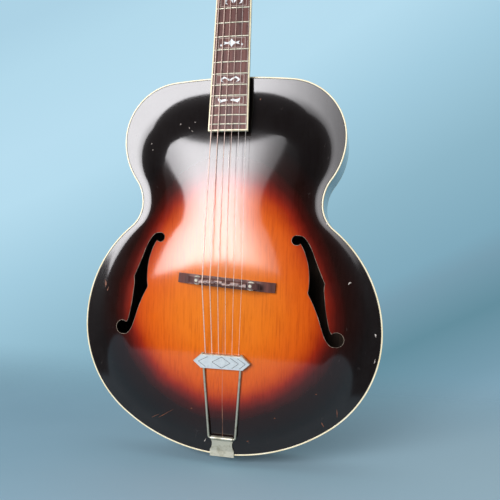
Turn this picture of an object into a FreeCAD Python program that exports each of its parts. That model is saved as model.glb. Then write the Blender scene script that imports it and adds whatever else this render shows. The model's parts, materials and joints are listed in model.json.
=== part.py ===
import FreeCAD, Part
import math
import os

import Sketcher

Vector = FreeCAD.Vector
Rotation = FreeCAD.Rotation
Placement = FreeCAD.Placement

# Archtop guitar, in millimetres and degrees.
# The part's frame hangs the guitar upright: +Z runs up the neck, +X is the treble side,
# the strings face -Y, and the origin is where a hanger's yoke holds the head's flare.
# Body places are first measured in the body's own frame, whose origin is the middle of the
# top edge of the body, on the plane of the front rim. "down" is a distance below that edge,
# and "front" is a distance in front of that plane.

# Proportions of the outline and of what follows it
BODY_SHARES = {
    "lower_rise_share": 0.8341463,
    "waist_width_share": 0.6170732,
    "upper_width_share": 0.7585366,
    "upper_rise_share": 0.5530547,
    "waist_place_share": 0.3488372,
    "tail_turn_share": 0.9005848,
    "shoulder_turn_share": 0.9534884,
    "lower_turn_share": 0.4017885,
    "upper_turn_share": 0.3178615,
    "arch_place_share": 0.5087379,
    "tone_bar_share": 0.6407767,
}

SIZES = {
    # body outline, as tangent arcs: its shape follows from the width and the length
    "lower_half_width": 205.0,
    "body_length": 515.0,
    "lower_widest_down": "=body_length - lower_half_width * lower_rise_share",
    "waist_half_width": "=lower_half_width * waist_width_share",
    "upper_half_width": "=lower_half_width * upper_width_share",
    "upper_widest_down": "=upper_half_width * upper_rise_share",
    "waist_down": "=upper_widest_down + (lower_widest_down - upper_widest_down) * waist_place_share",
    "tail_side_radius": "=(body_length - lower_widest_down) * tail_turn_share",
    "shoulder_side_radius": "=upper_widest_down * shoulder_turn_share",
    "lower_step": "=lower_half_width - waist_half_width",
    "upper_step": "=upper_half_width - waist_half_width",
    "lower_fall": "=lower_widest_down - waist_down",
    "upper_fall": "=waist_down - upper_widest_down",
    "lower_side_radius": "=(lower_step ^ 2 + lower_fall ^ 2) / lower_step * lower_turn_share",
    "upper_side_radius": "=(upper_step ^ 2 + upper_fall ^ 2) / upper_step * upper_turn_share",
    "rim_depth": 92.0,
    # arched plates
    "plate_thickness": 4.2,
    "top_arch_rise": 18.0,
    "back_arch_rise": 17.0,
    "arch_centre_down": "=body_length * arch_place_share",
    "glue_gap": 0.1,
    "overrun": 8.0,
    # sound holes
    "eye_upper_out": 94.0,
    "eye_upper_down": 224.4,
    "eye_upper_radius": 6.7,
    "eye_lower_out": 147.2,
    "eye_lower_down": 351.6,
    "eye_lower_radius": 9.7,
    "notch_outer_out": 131.4,
    "notch_outer_down": 279.8,
    "notch_inner_out": 109.5,
    "notch_inner_down": 292.9,
    # ribs, linings, binding and blocks
    "rib_thickness": 2.0,
    "binding_height": 6.5,
    "purfling_width": 0.7,
    "purfling_height": 2.0,
    "lining_width": 6.0,
    "lining_height": 13.0,
    "lining_gap": 0.8,
    "head_block_width": 84.0,
    "head_block_length": 56.0,
    "tail_block_width": 78.0,
    "tail_block_length": 22.0,
    "tone_bar_width": 8.0,
    "tone_bar_length": "=body_length * tone_bar_share",
    "tone_bar_depth": 14.0,
    "tone_bar_out": 38.0,
    "tone_bar_splay": 3.0,
    # neck and head
    "scale_length": 628.65,
    "joint_fret_count": 14.0,
    "joint_fret_drop": 0.7,
    "neck_tilt": 4.5,
    "board_front": 20.0,
    "neck_depth_nut": 15.6,
    "neck_depth_body": 18.6,
    "neck_extension_length": 62.0,
    "extension_gap": 0.3,
    "heel_foot_half_width": 12.0,
    "heel_foot_length": 17.0,
    "heel_cap_thickness": 1.5,
    "tenon_depth": 18.0,
    "tenon_half_width_root": 11.0,
    "tenon_half_width_tip": 15.0,
    "tenon_top": 8.0,
    "tenon_bottom": 76.0,
    "head_tilt": 15.0,
    "head_thickness": 14.5,
    "head_length": 172.0,
    "head_half_width_low": 38.0,
    "head_half_width_top": 42.0,
    "head_flare_length": 36.0,
    "head_crown": 9.0,
    "overlay_thickness": 1.5,
    "hanger_half_gap": 27.0,
    # truss rod
    "rod_radius": 2.5,
    "rod_channel_width": 6.0,
    "rod_front": 14.5,
    "rod_nut_across": 8.0,
    "rod_nut_length": 8.0,
    "rod_pocket_width": 11.0,
    "rod_pocket_length": 22.0,
    "rod_cover_half_width": 12.0,
    "rod_cover_length": 42.0,
    "rod_cover_thickness": 1.6,
    # fingerboard, frets, nut and strings
    "nut_width": 42.6,
    "nut_length": 5.0,
    "nut_front": 2.4,
    "board_end_width": 54.5,
    "board_length": 428.0,
    "board_thickness": 6.4,
    "board_radius": 305.0,
    "board_binding": 1.7,
    "fret_count": 19.0,
    "fret_width": 2.3,
    "fret_height": 1.1,
    "tang_width": 0.6,
    "tang_depth": 1.5,
    "slot_clearance": 0.03,
    "inlay_depth": 1.4,
    "frame_line": 0.9,
    "side_dot_radius": 1.0,
    "string_rise_nut": 1.4,
    "string_spread_nut": 35.5,
    "string_spread_bridge": 52.4,
    "string_spread_tail": 45.0,
    "string_clearance": 0.05,
    "string_lift": 0.22,
    # tuning machines
    "tuner_first_up": 46.0,
    "tuner_spacing": 38.0,
    "post_out": 25.5,
    "post_radius": 3.0,
    "post_front": 16.0,
    "post_running_gap": 0.05,
    "bushing_radius": 4.75,
    "bushing_flange_radius": 6.5,
    "bushing_flange_height": 1.3,
    "gear_radius": 6.2,
    "gear_thickness": 3.0,
    "gear_lift": 0.9,
    "gear_teeth": 14.0,
    "worm_radius": 2.0,
    "worm_length": 9.0,
    "mesh_gap": 0.25,
    "key_radius": 1.5,
    "key_collar_radius": 2.6,
    "key_stand_off": 4.0,
    "button_length": 15.0,
    "button_height": 18.0,
    "button_thickness": 6.5,
    "tuner_plate_thickness": 1.2,
    "tuner_plate_width": 17.0,
    "tuner_plate_low": 16.0,
    "tuner_plate_high": 20.0,
    "plate_screw_below": 12.0,
    "ear_thickness": 1.5,
    "ear_gap": 0.15,
    # floating bridge
    "string_compensation": 2.4683,
    "bridge_down": "=scale_length * 2 ^ (-joint_fret_count / 12) + joint_fret_drop + string_compensation",
    "bridge_across": 2.7,
    "bridge_slant": 4.0,
    "base_half_length": 66.0,
    "base_width": 13.0,
    "base_height": 8.2,
    "base_end_height": 4.5,
    "base_relief_half_length": 19.0,
    "stud_out": 36.0,
    "stud_radius": 2.0,
    "stud_length": 23.0,
    "stud_sunk": 6.5,
    "stud_running_gap": 0.05,
    "thumbwheel_radius": 6.2,
    "thumbwheel_height": 2.6,
    "thumbwheel_knurls": 24.0,
    "wheel_gap": 0.05,
    "saddle_half_length": 48.5,
    "saddle_width": 8.0,
    "saddle_height_middle": 12.2,
    "saddle_height_stud": 7.0,
    "saddle_ridge_width": 2.0,
    "saddle_front": 45.4,
    # trapeze tailpiece
    "hinge_above_tail": 23.0,
    "hinge_down": "=body_length - hinge_above_tail",
    "hinge_front": 5.0,
    "hinge_tilt": 7.4,
    "trapeze_wire_radius": 1.5,
    "trapeze_foot_half_width": 18.0,
    "trapeze_head_half_width": 26.3,
    "trapeze_bend_radius": 3.2,
    "leg_stand_out": 1.5,
    "crossbar_up": 104.8,
    "crossbar_half_length": 38.6,
    "crossbar_half_flat": 28.4,
    "crossbar_height": 18.6,
    "crossbar_thickness": 5.5,
    "pearl_thickness": 1.5,
    "engraving_width": 0.6,
    "engraving_depth": 0.4,
    "ball_radius": 1.9,
    "ball_length": 3.2,
    "ball_pocket_height": 8.0,
    # tail bracket and end pin
    "bracket_thickness": 1.4,
    "bracket_stand_off": 0.3,
    "bracket_over_rim": 1.0,
    "bracket_roll": 6.0,
    "bracket_screw_out": 9.0,
    "bracket_half_width": 16.4,
    "bracket_waist_half_width": 13.8,
    "bracket_scoop_radius": 12.0,
    "bracket_tail_length": 58.0,
    "knuckle_half_width": 14.7,
    "knuckle_radius": 2.9,
    "hinge_running_gap": 0.05,
    "end_pin_radius": 3.0,
    "end_pin_head_radius": 6.8,
    "end_pin_head_height": 3.2,
    "end_pin_neck_length": 8.0,
    "end_pin_shank_length": 24.0,
    "screw_head_radius": 2.4,
    "screw_shank_radius": 1.2,
    "screw_length": 9.0,
    "screw_head_height": 1.2,
}

STRING_RADII = (0.17, 0.21, 0.30, 0.40, 0.53, 0.66)
SADDLE_SHIFT_SHARES = (-0.12, 0.06, -0.16, 0.14, 0.0, -0.16)
INLAY_FRETS = (3, 5, 7, 9, 12, 15, 17)

document = FreeCAD.newDocument("archtop_guitar")
sheet = document.addObject("Spreadsheet::Sheet", "sizes")
for row, (alias, value) in enumerate([*BODY_SHARES.items(), *SIZES.items()], 1):
    sheet.set("A%d" % row, alias)
    sheet.set("B%d" % row, str(value))
    sheet.setAlias("B%d" % row, alias)
document.recompute()

nodes = []


def size(alias):
    """A driving dimension, read from the sheet."""
    return float(sheet.get(alias))


def node(thing, label, frame=None):
    """Names a finished sub-part and puts it in its place."""
    thing.Label = label
    if frame is not None:
        thing.Placement = frame
    nodes.append(thing)
    return thing


def feature(name, shape):
    """A sub-part whose shape is worked out by functions."""
    thing = document.addObject("Part::Feature", name)
    thing.Shape = shape
    return thing


def shaped(label, shape, frame):
    return node(feature(label, shape), label, frame.multiply(shape.Placement))


def shift(x, y, z, axis=Vector(1, 0, 0), angle=0.0):
    return Placement(Vector(x, y, z), Rotation(axis, angle))


def placed(shape, frame):
    """A copy of a shape carried into another frame."""
    moved = shape.copy()
    moved.Placement = frame.multiply(moved.Placement)
    return moved


def joined(shapes):
    first = shapes[0]
    return first if len(shapes) == 1 else first.multiFuse(shapes[1:]).removeSplitter()


def block(x_low, x_high, y_low, y_high, z_low, z_high):
    """A box between two corners."""
    corner = Vector(x_low, y_low, z_low)
    return Part.makeBox(x_high - x_low, y_high - y_low, z_high - z_low, corner)


def rod(start, end, radius):
    """A straight round bar between two points."""
    along = end.sub(start)
    return Part.makeCylinder(radius, along.Length, start, along)


def prism(points, sweep):
    """A flat polygon carried along a vector."""
    wire = Part.makePolygon([*points, points[0]])
    return Part.Face(wire).extrude(sweep)


def plane_of(body, role):
    for datum in body.Origin.OriginFeatures:
        if datum.Role == role:
            return datum
    raise ValueError(role)


def number(text):
    return float(sheet.evalExpression(text))


def corner_sketch(body, name, role, corners):
    """A closed polygon sketch whose corners are tied to the sheet."""
    sketch = body.newObject("Sketcher::SketchObject", name)
    sketch.AttachmentSupport = (plane_of(body, role), [""])
    sketch.MapMode = "FlatFace"
    points = [Vector(number(u), number(v), 0) for u, v in corners]
    count = len(points)
    for i in range(count):
        sketch.addGeometry(Part.LineSegment(points[i], points[(i + 1) % count]), False)
    for i in range(count):
        sketch.addConstraint(Sketcher.Constraint("Coincident", i, 2, (i + 1) % count, 1))
    for i, (u, v) in enumerate(corners):
        for kind, axis, text, start in (("DistanceX", -2, u, points[i].x),
                                        ("DistanceY", -1, v, points[i].y)):
            if text == "0":
                sketch.addConstraint(Sketcher.Constraint("PointOnObject", i, 1, axis))
            else:
                index = sketch.addConstraint(Sketcher.Constraint(kind, i, 1, start))
                sketch.setExpression("Constraints[%d]" % index, text)
    return sketch


def circle_sketch(body, name, role, circles):
    """Circles whose centres and radii are tied to the sheet."""
    sketch = body.newObject("Sketcher::SketchObject", name)
    sketch.AttachmentSupport = (plane_of(body, role), [""])
    sketch.MapMode = "FlatFace"
    for u, v, r in circles:
        centre = Vector(number(u), number(v), 0)
        item = sketch.addGeometry(Part.Circle(centre, Vector(0, 0, 1), number(r)), False)
        index = sketch.addConstraint(Sketcher.Constraint("Radius", item, number(r)))
        sketch.setExpression("Constraints[%d]" % index, r)
        for kind, axis, text, start in (("DistanceX", -2, u, centre.x), ("DistanceY", -1, v, centre.y)):
            if text == "0":
                sketch.addConstraint(Sketcher.Constraint("PointOnObject", item, 3, axis))
            else:
                index = sketch.addConstraint(Sketcher.Constraint(kind, item, 3, start))
                sketch.setExpression("Constraints[%d]" % index, text)
    return sketch


def padded(body, name, profile, length, midplane=False):
    pad = body.newObject("PartDesign::Pad", name)
    pad.Profile = profile
    pad.setExpression("Length", length)
    pad.Midplane = midplane
    return pad


def pocketed(body, name, profile, length, midplane=False, reverse=False):
    cut = body.newObject("PartDesign::Pocket", name)
    cut.Profile = profile
    cut.setExpression("Length", length)
    cut.Midplane = midplane
    cut.Reversed = reverse
    return cut


def turned(name, corners):
    """A body of revolution about its own Z axis, from corners given as radius and height."""
    body = document.addObject("PartDesign::Body", name)
    profile = corner_sketch(body, name + "_profile", "XZ_Plane", corners)
    solid = body.newObject("PartDesign::Revolution", name + "_turned")
    solid.Profile = profile
    solid.ReferenceAxis = (profile, ["V_Axis"])
    solid.Angle = 360.0
    return body


def copies(label, master, frames):
    """Equal pieces as separate solids in one node."""
    document.recompute()
    return node(feature(label, Part.makeCompound([placed(master.Shape, frame) for frame in frames])), label)


# Frames of the neck, head, bridge and trapeze
scale_length = size("scale_length")


def fret_distance(fret):
    """Distance from the nut to a fret: each fret divides what is left by the twelfth root of 2."""
    return scale_length * (1 - 2 ** (-fret / 12))


nut_up = fret_distance(size("joint_fret_count")) - size("joint_fret_drop")
head_origin = (nut_up + size("nut_length"), size("board_thickness"))
neck_in_body = shift(0, -size("board_front"), 0, Vector(1, 0, 0), -size("neck_tilt"))
head_in_body = neck_in_body.multiply(
    shift(0, head_origin[1], head_origin[0], Vector(1, 0, 0), -size("head_tilt")))
flare_share = (size("hanger_half_gap") - size("nut_width") / 2) / (
    size("head_half_width_low") - size("nut_width") / 2)
hanger_up = size("head_flare_length") * flare_share
hanger_in_body = head_in_body.multVec(Vector(0, size("head_thickness") / 2, hanger_up))
body_frame = shift(0, -hanger_in_body.y, -hanger_in_body.z)
neck_frame = body_frame.multiply(neck_in_body)
head_frame = body_frame.multiply(head_in_body)
bridge_in_body = shift(size("bridge_across"), 0, -size("bridge_down"), Vector(0, 1, 0),
                       size("bridge_slant"))
bridge_frame = body_frame.multiply(bridge_in_body)
trapeze_in_body = shift(0, -size("hinge_front"), -size("hinge_down"), Vector(1, 0, 0), size("hinge_tilt"))
trapeze_frame = body_frame.multiply(trapeze_in_body)

# Wood screws: each frame stands at the seat under the head, its +Z pointing out of the wood
screw_length, shank_radius = size("screw_length"), size("screw_shank_radius")
COVER_SCREW_SHARES = ((0.72, 0.09), (-0.72, 0.09), (0.0, 0.93))
cover_low = size("nut_length") / 4
tuner_ups = [size("tuner_first_up") + place * size("tuner_spacing") for place in range(3)]
plate_screw_ups = [up - size("plate_screw_below") for up in tuner_ups]
plate_screw_ups.append(tuner_ups[-1] + (size("plate_screw_below") + size("tuner_plate_high")) / 2)
plate_back = size("head_thickness") + size("tuner_plate_thickness")
head_screws = [shift(side * size("post_out"), plate_back, up, Vector(1, 0, 0), -90)
               for side in (1, -1) for up in plate_screw_ups]
cover_front = size("overlay_thickness") + size("rod_cover_thickness")
head_screws += [shift(out * size("rod_cover_half_width"), -cover_front,
                      cover_low + up * size("rod_cover_length"),
                      Vector(1, 0, 0), 90) for out, up in COVER_SCREW_SHARES]
TAIL_SCREW_SHARES = ((-1, 0.3), (1, 0.3), (0, 0.62))
bracket_low = size("body_length") + size("bracket_stand_off") + size("bracket_thickness")
pin_depth = size("rim_depth") / 2
tail_screws = [shift(out * size("bracket_screw_out"), share * pin_depth, -bracket_low, Vector(1, 0, 0), 180)
               for out, share in TAIL_SCREW_SHARES]


def screw_holes(frames):
    """The round holes that screws at these frames make."""
    return [placed(rod(Vector(0, 0, -screw_length), Vector(0, 0, screw_length), shank_radius), frame)
            for frame in frames]


rim_depth = size("rim_depth")
body_length = size("body_length")
plate_thickness = size("plate_thickness")
glue_gap = size("glue_gap")
overrun = size("overrun")
rib_thickness = size("rib_thickness")
binding_height = size("binding_height")


# Body outline
def end_radius(cx, rise, radius):
    """Radius of the arc through the centre line that is tangent to a side arc."""
    return (cx * cx + rise * rise - radius * radius) / (2 * (rise - radius))


def hollow_radius(reach, rise, radius):
    """Radius of the hollow waist arc that is tangent to a side arc."""
    return (reach * reach + rise * rise - radius * radius) / (2 * (radius - reach))


def body_arcs():
    """Half outline from tail to top: centre x, centre z, radius, two angles, and 1 if it bulges."""
    half = math.pi / 2
    low, waist, high = size("lower_half_width"), size("waist_half_width"), size("upper_half_width")
    low_z, waist_z, high_z = -size("lower_widest_down"), -size("waist_down"), -size("upper_widest_down")
    tail_r, lower_r = size("tail_side_radius"), size("lower_side_radius")
    upper_r, shoulder_r = size("upper_side_radius"), size("shoulder_side_radius")
    arcs = []
    centre_x = low - tail_r
    bottom_r = end_radius(centre_x, low_z + body_length, tail_r)
    bottom_z = bottom_r - body_length
    turn = math.atan2(low_z - bottom_z, centre_x)
    arcs.append((0.0, bottom_z, bottom_r, -half, turn, 1))
    arcs.append((centre_x, low_z, tail_r, turn, 0.0, 1))
    centre_x = low - lower_r
    rise = waist_z - low_z
    waist_r = hollow_radius(waist - centre_x, rise, lower_r)
    turn = math.atan2(rise, waist + waist_r - centre_x)
    arcs.append((centre_x, low_z, lower_r, 0.0, turn, 1))
    arcs.append((waist + waist_r, waist_z, waist_r, math.pi + turn, math.pi, -1))
    centre_x = high - upper_r
    rise = high_z - waist_z
    waist_r = hollow_radius(waist - centre_x, rise, upper_r)
    turn = math.atan2(-rise, waist + waist_r - centre_x)
    arcs.append((waist + waist_r, waist_z, waist_r, math.pi, math.pi + turn, -1))
    arcs.append((centre_x, high_z, upper_r, turn, 0.0, 1))
    centre_x = high - shoulder_r
    top_r = end_radius(centre_x, -high_z, shoulder_r)
    turn = math.atan2(high_z + top_r, centre_x)
    arcs.append((centre_x, high_z, shoulder_r, 0.0, turn, 1))
    arcs.append((0.0, -top_r, top_r, turn, half, 1))
    return arcs


BODY_ARCS = body_arcs()


def outline_edges(inset, level, side):
    """The half outline, moved in by inset, at a depth behind the front rim."""
    edges = []
    for cx, cz, radius, start, end, bulge in BODY_ARCS:
        r = radius - bulge * inset
        points = []
        for angle in (start, (start + end) / 2, end):
            points.append(Vector(side * (cx + r * math.cos(angle)), level, cz + r * math.sin(angle)))
        edges.append(Part.Arc(*points).toShape())
    return edges


def outline_solid(inset, level, depth):
    edges = outline_edges(inset, level, 1) + outline_edges(inset, level, -1)
    wire = Part.Wire(Part.__sortEdges__(edges))
    return Part.Face(wire).extrude(Vector(0, depth, 0))


def ring_solid(inset, width, level, depth):
    return outline_solid(inset, level,
                         depth).cut(outline_solid(inset + width, level - overrun, depth + 2 * overrun))


def outline_half_width(z):
    """Half the body's width at a height, from the arc that the height crosses."""
    widest = 0.0
    for cx, cz, radius, start, end, bulge in BODY_ARCS:
        rise = z - cz
        if abs(rise) > radius:
            continue
        turn = math.asin(rise / radius)
        if bulge < 0:
            turn = math.pi - turn
        if min(start, end) - angle_slack <= turn <= max(start, end) + angle_slack:
            widest = max(widest, cx + radius * math.cos(turn))
    return widest


angle_slack = 0.001
wide_arch_share, long_arch_share, fade_share = 0.955, 0.965, 0.27
long_arch_power, corner_power = 2.4, 4


def arch_share(x, z):
    """Height of the arch at a point, as a share of its rise: a long arch times a cross arch.

    The long arch is 1 - v ** 2.4, with v the distance along the body from the arch centre against
    the body's end. The cross arch is the parabola 1 - u ** 2, with u the distance from the middle
    against the body's half width. Both fade into a flat edge as (u ** 4 + v ** 4) ** (1 / 4) nears 1.
    """
    rise = z + size("arch_centre_down")
    far = size("arch_centre_down") if rise > 0 else body_length - size("arch_centre_down")
    half_width = outline_half_width(z) * wide_arch_share
    v = abs(rise) / (far * long_arch_share)
    if v >= 1 or abs(x) >= half_width:
        return 0.0
    u = abs(x) / half_width
    fade = (1 - (u ** corner_power + v ** corner_power) ** (1 / corner_power)) / fade_share
    fade = min(max(fade, 0.0), 1.0)
    return (1 - v ** long_arch_power) * (1 - u * u) * fade * fade * (3 - 2 * fade)


def arch_grid():
    """Shares of the arch on a regular grid a little larger than the body."""
    columns, rows = 53, 65
    half = size("lower_half_width") + overrun
    low, high = -body_length - overrun, overrun
    grid = []
    for j in range(rows):
        z = low + (high - low) * j / (rows - 1)
        grid.append([(half * (2 * i / (columns - 1) - 1), z, 0.0) for i in range(columns)])
    return [[(x, z, arch_share(x, z)) for x, z, _ in line] for line in grid]


ARCH_GRID = arch_grid()


def arch_face(rise, level):
    """The arched surface that starts at a level and rises by rise; a front arch has a negative rise."""
    points = [[Vector(x, level + rise * share, z) for x, z, share in line] for line in ARCH_GRID]
    surface = Part.BSplineSurface()
    surface.interpolate(points)
    return surface.toShape()


top_rise = -size("top_arch_rise")
back_rise = size("back_arch_rise")
in_front_of_top = arch_face(top_rise, -glue_gap).extrude(Vector(0, rim_depth, 0))
under_top = arch_face(top_rise, plate_thickness + glue_gap)
over_back = arch_face(back_rise, rim_depth - plate_thickness - glue_gap)
outside_of_chamber = (under_top.extrude(Vector(0, -rim_depth, 0)),
                      over_back.extrude(Vector(0, rim_depth, 0)))


UPPER_OUTER_SHARES = ((0.0, 1.0), (1.25, 0.75), (2.3, -0.5), (3.15, -2.2), (3.85, -4.1))
LOWER_OUTER_SHARES = ((-1.6, 5.3), (-1.45, 3.9), (-1.2, 2.5), (-0.93, 1.3), (-0.62, 0.75))
LOWER_INNER_SHARES = ((0.0, -1.0), (-0.78, -0.86), (-1.5, 0.05), (-2.02, 1.5), (-2.5, 3.0), (-3.15, 4.6))
NOTCH_INNER_SHARES = ((0.0, 0.0), (0.22, 1.19), (0.24, 3.28), (0.03, 5.3))
UPPER_INNER_SHARES = ((1.9, -3.2), (1.3, -1.65), (0.72, -0.6))


def sound_hole(side):
    """An f-hole as two round eyes and the stem between them, cut square through the top."""
    level = top_rise - overrun
    depth = Vector(0, size("top_arch_rise") + 3 * overrun, 0)
    upper = Vector(side * size("eye_upper_out"), level, -size("eye_upper_down"))
    lower = Vector(side * size("eye_lower_out"), level, -size("eye_lower_down"))
    notch_outer = Vector(side * size("notch_outer_out"), level, -size("notch_outer_down"))
    notch_inner = Vector(side * size("notch_inner_out"), level, -size("notch_inner_down"))
    upper_r, lower_r = size("eye_upper_radius"), size("eye_lower_radius")

    def near(eye, radius, out_share, up_share):
        """A point at shares of an eye's radius from its centre."""
        return eye.add(Vector(side * out_share * radius, 0, up_share * radius))

    def curve(points):
        spline = Part.BSplineCurve()
        spline.interpolate(points)
        return spline.toShape()

    def line(*marks):
        """A smooth edge through marks given as a centre, a radius and shares of it."""
        return curve([near(eye, radius, out, up) for eye, radius, shares in marks for out, up in shares])

    upper_outer = line((upper, upper_r, UPPER_OUTER_SHARES),
                       (notch_outer, upper_r, ((-0.54, 1.22), (0, 0))))
    lower_outer = line((notch_outer, upper_r, ((0, 0), (-0.13, -1.34))),
                       (lower, lower_r, LOWER_OUTER_SHARES))
    lower_inner = line((lower, lower_r, LOWER_INNER_SHARES), (notch_inner, upper_r, ((0, 0),)))
    upper_inner = line((notch_inner, upper_r, NOTCH_INNER_SHARES), (upper, upper_r, UPPER_INNER_SHARES))
    into_lower = Part.LineSegment(near(lower, lower_r, *LOWER_OUTER_SHARES[-1]),
                                  near(lower, lower_r, *LOWER_INNER_SHARES[0])).toShape()
    into_upper = Part.LineSegment(near(upper, upper_r, *UPPER_INNER_SHARES[-1]),
                                  near(upper, upper_r, *UPPER_OUTER_SHARES[0])).toShape()
    wire = Part.Wire([upper_outer, lower_outer, into_lower, lower_inner, upper_inner, into_upper])
    stem = Part.Face(wire).extrude(depth)
    eyes = [Part.makeCylinder(r, depth.y, centre, Vector(0, 1, 0)) for centre,
            r in ((upper, upper_r), (lower, lower_r))]
    return stem.multiFuse(eyes)


# Top and back plates: carved, one board thick, flat round the edge
plate_inset = rib_thickness + glue_gap
purfling_inset = rib_thickness
top_plate_inset = rib_thickness + size("purfling_width") + glue_gap
chamber = outline_solid(plate_inset, -rim_depth, 3 * rim_depth)
top_slab = arch_face(top_rise, 0).extrude(Vector(0, plate_thickness, 0))
top_plate = top_slab.common(outline_solid(top_plate_inset, -rim_depth, 2 * rim_depth)).cut([sound_hole(1),
                                                                                            sound_hole(-1)])
shaped("top_plate", top_plate, body_frame)
back_slab = arch_face(back_rise, rim_depth - plate_thickness).extrude(Vector(0, plate_thickness, 0))
shaped("back_plate", back_slab.common(outline_solid(top_plate_inset, 0, 2 * rim_depth)), body_frame)

# Edge: cream binding on both rims, with a dark line let in beside it
shaped("binding_top", ring_solid(0, rib_thickness, 0, binding_height), body_frame)
shaped("binding_back", ring_solid(0, rib_thickness, rim_depth - binding_height, binding_height), body_frame)
purfling = [ring_solid(purfling_inset, size("purfling_width"), level, size("purfling_height"))
            for level in (0, rim_depth - size("purfling_height"))]
shaped("purfling_lines", Part.makeCompound(purfling), body_frame)

# Dovetail of the neck, and the space cut for it
tenon_top, tenon_bottom = size("tenon_top"), size("tenon_bottom")


def tenon(grow):
    """The dovetail: narrow at the body's edge, wide inside."""
    root, tip = size("tenon_half_width_root") + grow, size("tenon_half_width_tip") + grow
    depth = size("tenon_depth") + grow
    start = tenon_top - grow
    points = [Vector(-root, start, overrun / 4), Vector(root, start, overrun / 4),
              Vector(tip, start, -depth), Vector(-tip, start, -depth)]
    return prism(points, Vector(0, tenon_bottom - tenon_top + 2 * grow, 0))


mortise = tenon(glue_gap)

# Ribs: two bent halves that meet on the centre line
pin_hole = rod(Vector(0, pin_depth, -body_length - overrun),
               Vector(0, pin_depth, -body_length + size("end_pin_shank_length") + overrun),
               size("end_pin_radius"))
tail_holes = [pin_hole, *screw_holes(tail_screws)]
rib_ring = ring_solid(0, rib_thickness, binding_height,
                      rim_depth - 2 * binding_height).cut([mortise, *tail_holes])
wide = size("lower_half_width") + overrun
for label, x_low, x_high in (("rib_bass", -wide, 0.0), ("rib_treble", 0.0, wide)):
    half_space = block(x_low, x_high, 0, rim_depth, -body_length - overrun, overrun)
    shaped(label, rib_ring.common(half_space), body_frame)

# Blocks: solid wood inside the two ends, shaped to both plates
chamber_front, chamber_back = plate_thickness + glue_gap, rim_depth - plate_thickness - glue_gap


def end_block(width, z_low, z_high):
    raw = block(-width / 2, width / 2, top_rise, rim_depth + back_rise, z_low, z_high)
    return raw.common(chamber).cut(list(outside_of_chamber))


head_block_low = -size("head_block_length")
tail_block_high = -body_length + size("tail_block_length")
shaped("head_block", end_block(size("head_block_width"), head_block_low, overrun).cut(mortise), body_frame)
shaped("tail_block", end_block(size("tail_block_width"), -body_length - overrun,
                               tail_block_high).cut(tail_holes),
       body_frame)

# Linings: strips inside the corner of rib and plate, stopped at the blocks
head_space = block(-size("head_block_width") / 2 - glue_gap, size("head_block_width") / 2 + glue_gap,
                   -overrun, rim_depth + overrun, head_block_low - glue_gap, overrun)
tail_space = block(-size("tail_block_width") / 2 - glue_gap, size("tail_block_width") / 2 + glue_gap,
                   -overrun, rim_depth + overrun, -body_length - overrun, tail_block_high + glue_gap)
lining_height, lining_gap = size("lining_height"), size("lining_gap")
strips = [ring_solid(plate_inset, size("lining_width"), level, lining_height).cut([head_space, tail_space])
          for level in (chamber_front + lining_gap, chamber_back - lining_gap - lining_height)]
shaped("linings", Part.makeCompound([solid for strip in strips for solid in strip.Solids]), body_frame)

# Tone bars: two spruce bars under the top, splayed, thinner towards their ends
bars = []
for side in (-1, 1):
    half = size("tone_bar_length") / 2
    tall = plate_thickness + size("tone_bar_depth")
    underside = Part.Arc(Vector(0, top_rise + plate_thickness + 2 * overrun, -half),
                         Vector(0, top_rise + tall, 0),
                         Vector(0, top_rise + plate_thickness + 2 * overrun, half)).toShape()
    high_line = Part.makePolygon([Vector(0, top_rise + plate_thickness + 2 * overrun, half),
                                  Vector(0, top_rise - overrun, half), Vector(0, top_rise - overrun, -half),
                                  Vector(0, top_rise + plate_thickness + 2 * overrun, -half)])
    face = Part.Face(Part.Wire([underside, *high_line.Edges]))
    bar = face.extrude(Vector(size("tone_bar_width"), 0, 0))
    spot = shift(side * size("tone_bar_out") - size("tone_bar_width") / 2, 0, -size("arch_centre_down"),
                 Vector(0, 1, 0), -side * size("tone_bar_splay"))
    bars.append(placed(bar, spot).cut(outside_of_chamber[0]))
shaped("tone_bars", Part.makeCompound(bars), body_frame)

# Neck: one piece of wood from the heel to the top of the head
board_thickness = size("board_thickness")
nut_length = size("nut_length")
head_thickness = size("head_thickness")
board_low = nut_up - size("board_length")
clearance = size("string_clearance")


def board_half_width(up):
    """Half the board's width at a height on the neck, its binding included."""
    share = (nut_up - up) / size("board_length")
    return (size("nut_width") + (size("board_end_width") - size("nut_width")) * share) / 2


def half_oval(half_width, start, depth, up):
    """A section across the neck: flat in front, half an ellipse behind."""
    centre = Vector(0, start, up)
    right, low = Vector(half_width, start, up), Vector(0, start + depth, up)
    if depth > half_width:
        oval = Part.Ellipse(low, right, centre)
    else:
        oval = Part.Ellipse(right, low, centre)
    left_turn, low_turn, right_turn = (oval.parameter(Vector(-half_width, start, up)), oval.parameter(low),
                                       oval.parameter(right))
    first, last = right_turn, left_turn
    full = 2 * math.pi
    if (low_turn - first) % full > (last - first) % full:
        first, last = left_turn, right_turn
    arc = Part.ArcOfEllipse(oval, first, first + (last - first) % full).toShape()
    flat = Part.LineSegment(arc.valueAt(arc.FirstParameter), arc.valueAt(arc.LastParameter)).toShape()
    return Part.Wire(Part.__sortEdges__([arc, flat]))


def shaft_depth(up):
    share = up / nut_up
    return size("neck_depth_body") + (size("neck_depth_nut") - size("neck_depth_body")) * share


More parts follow.
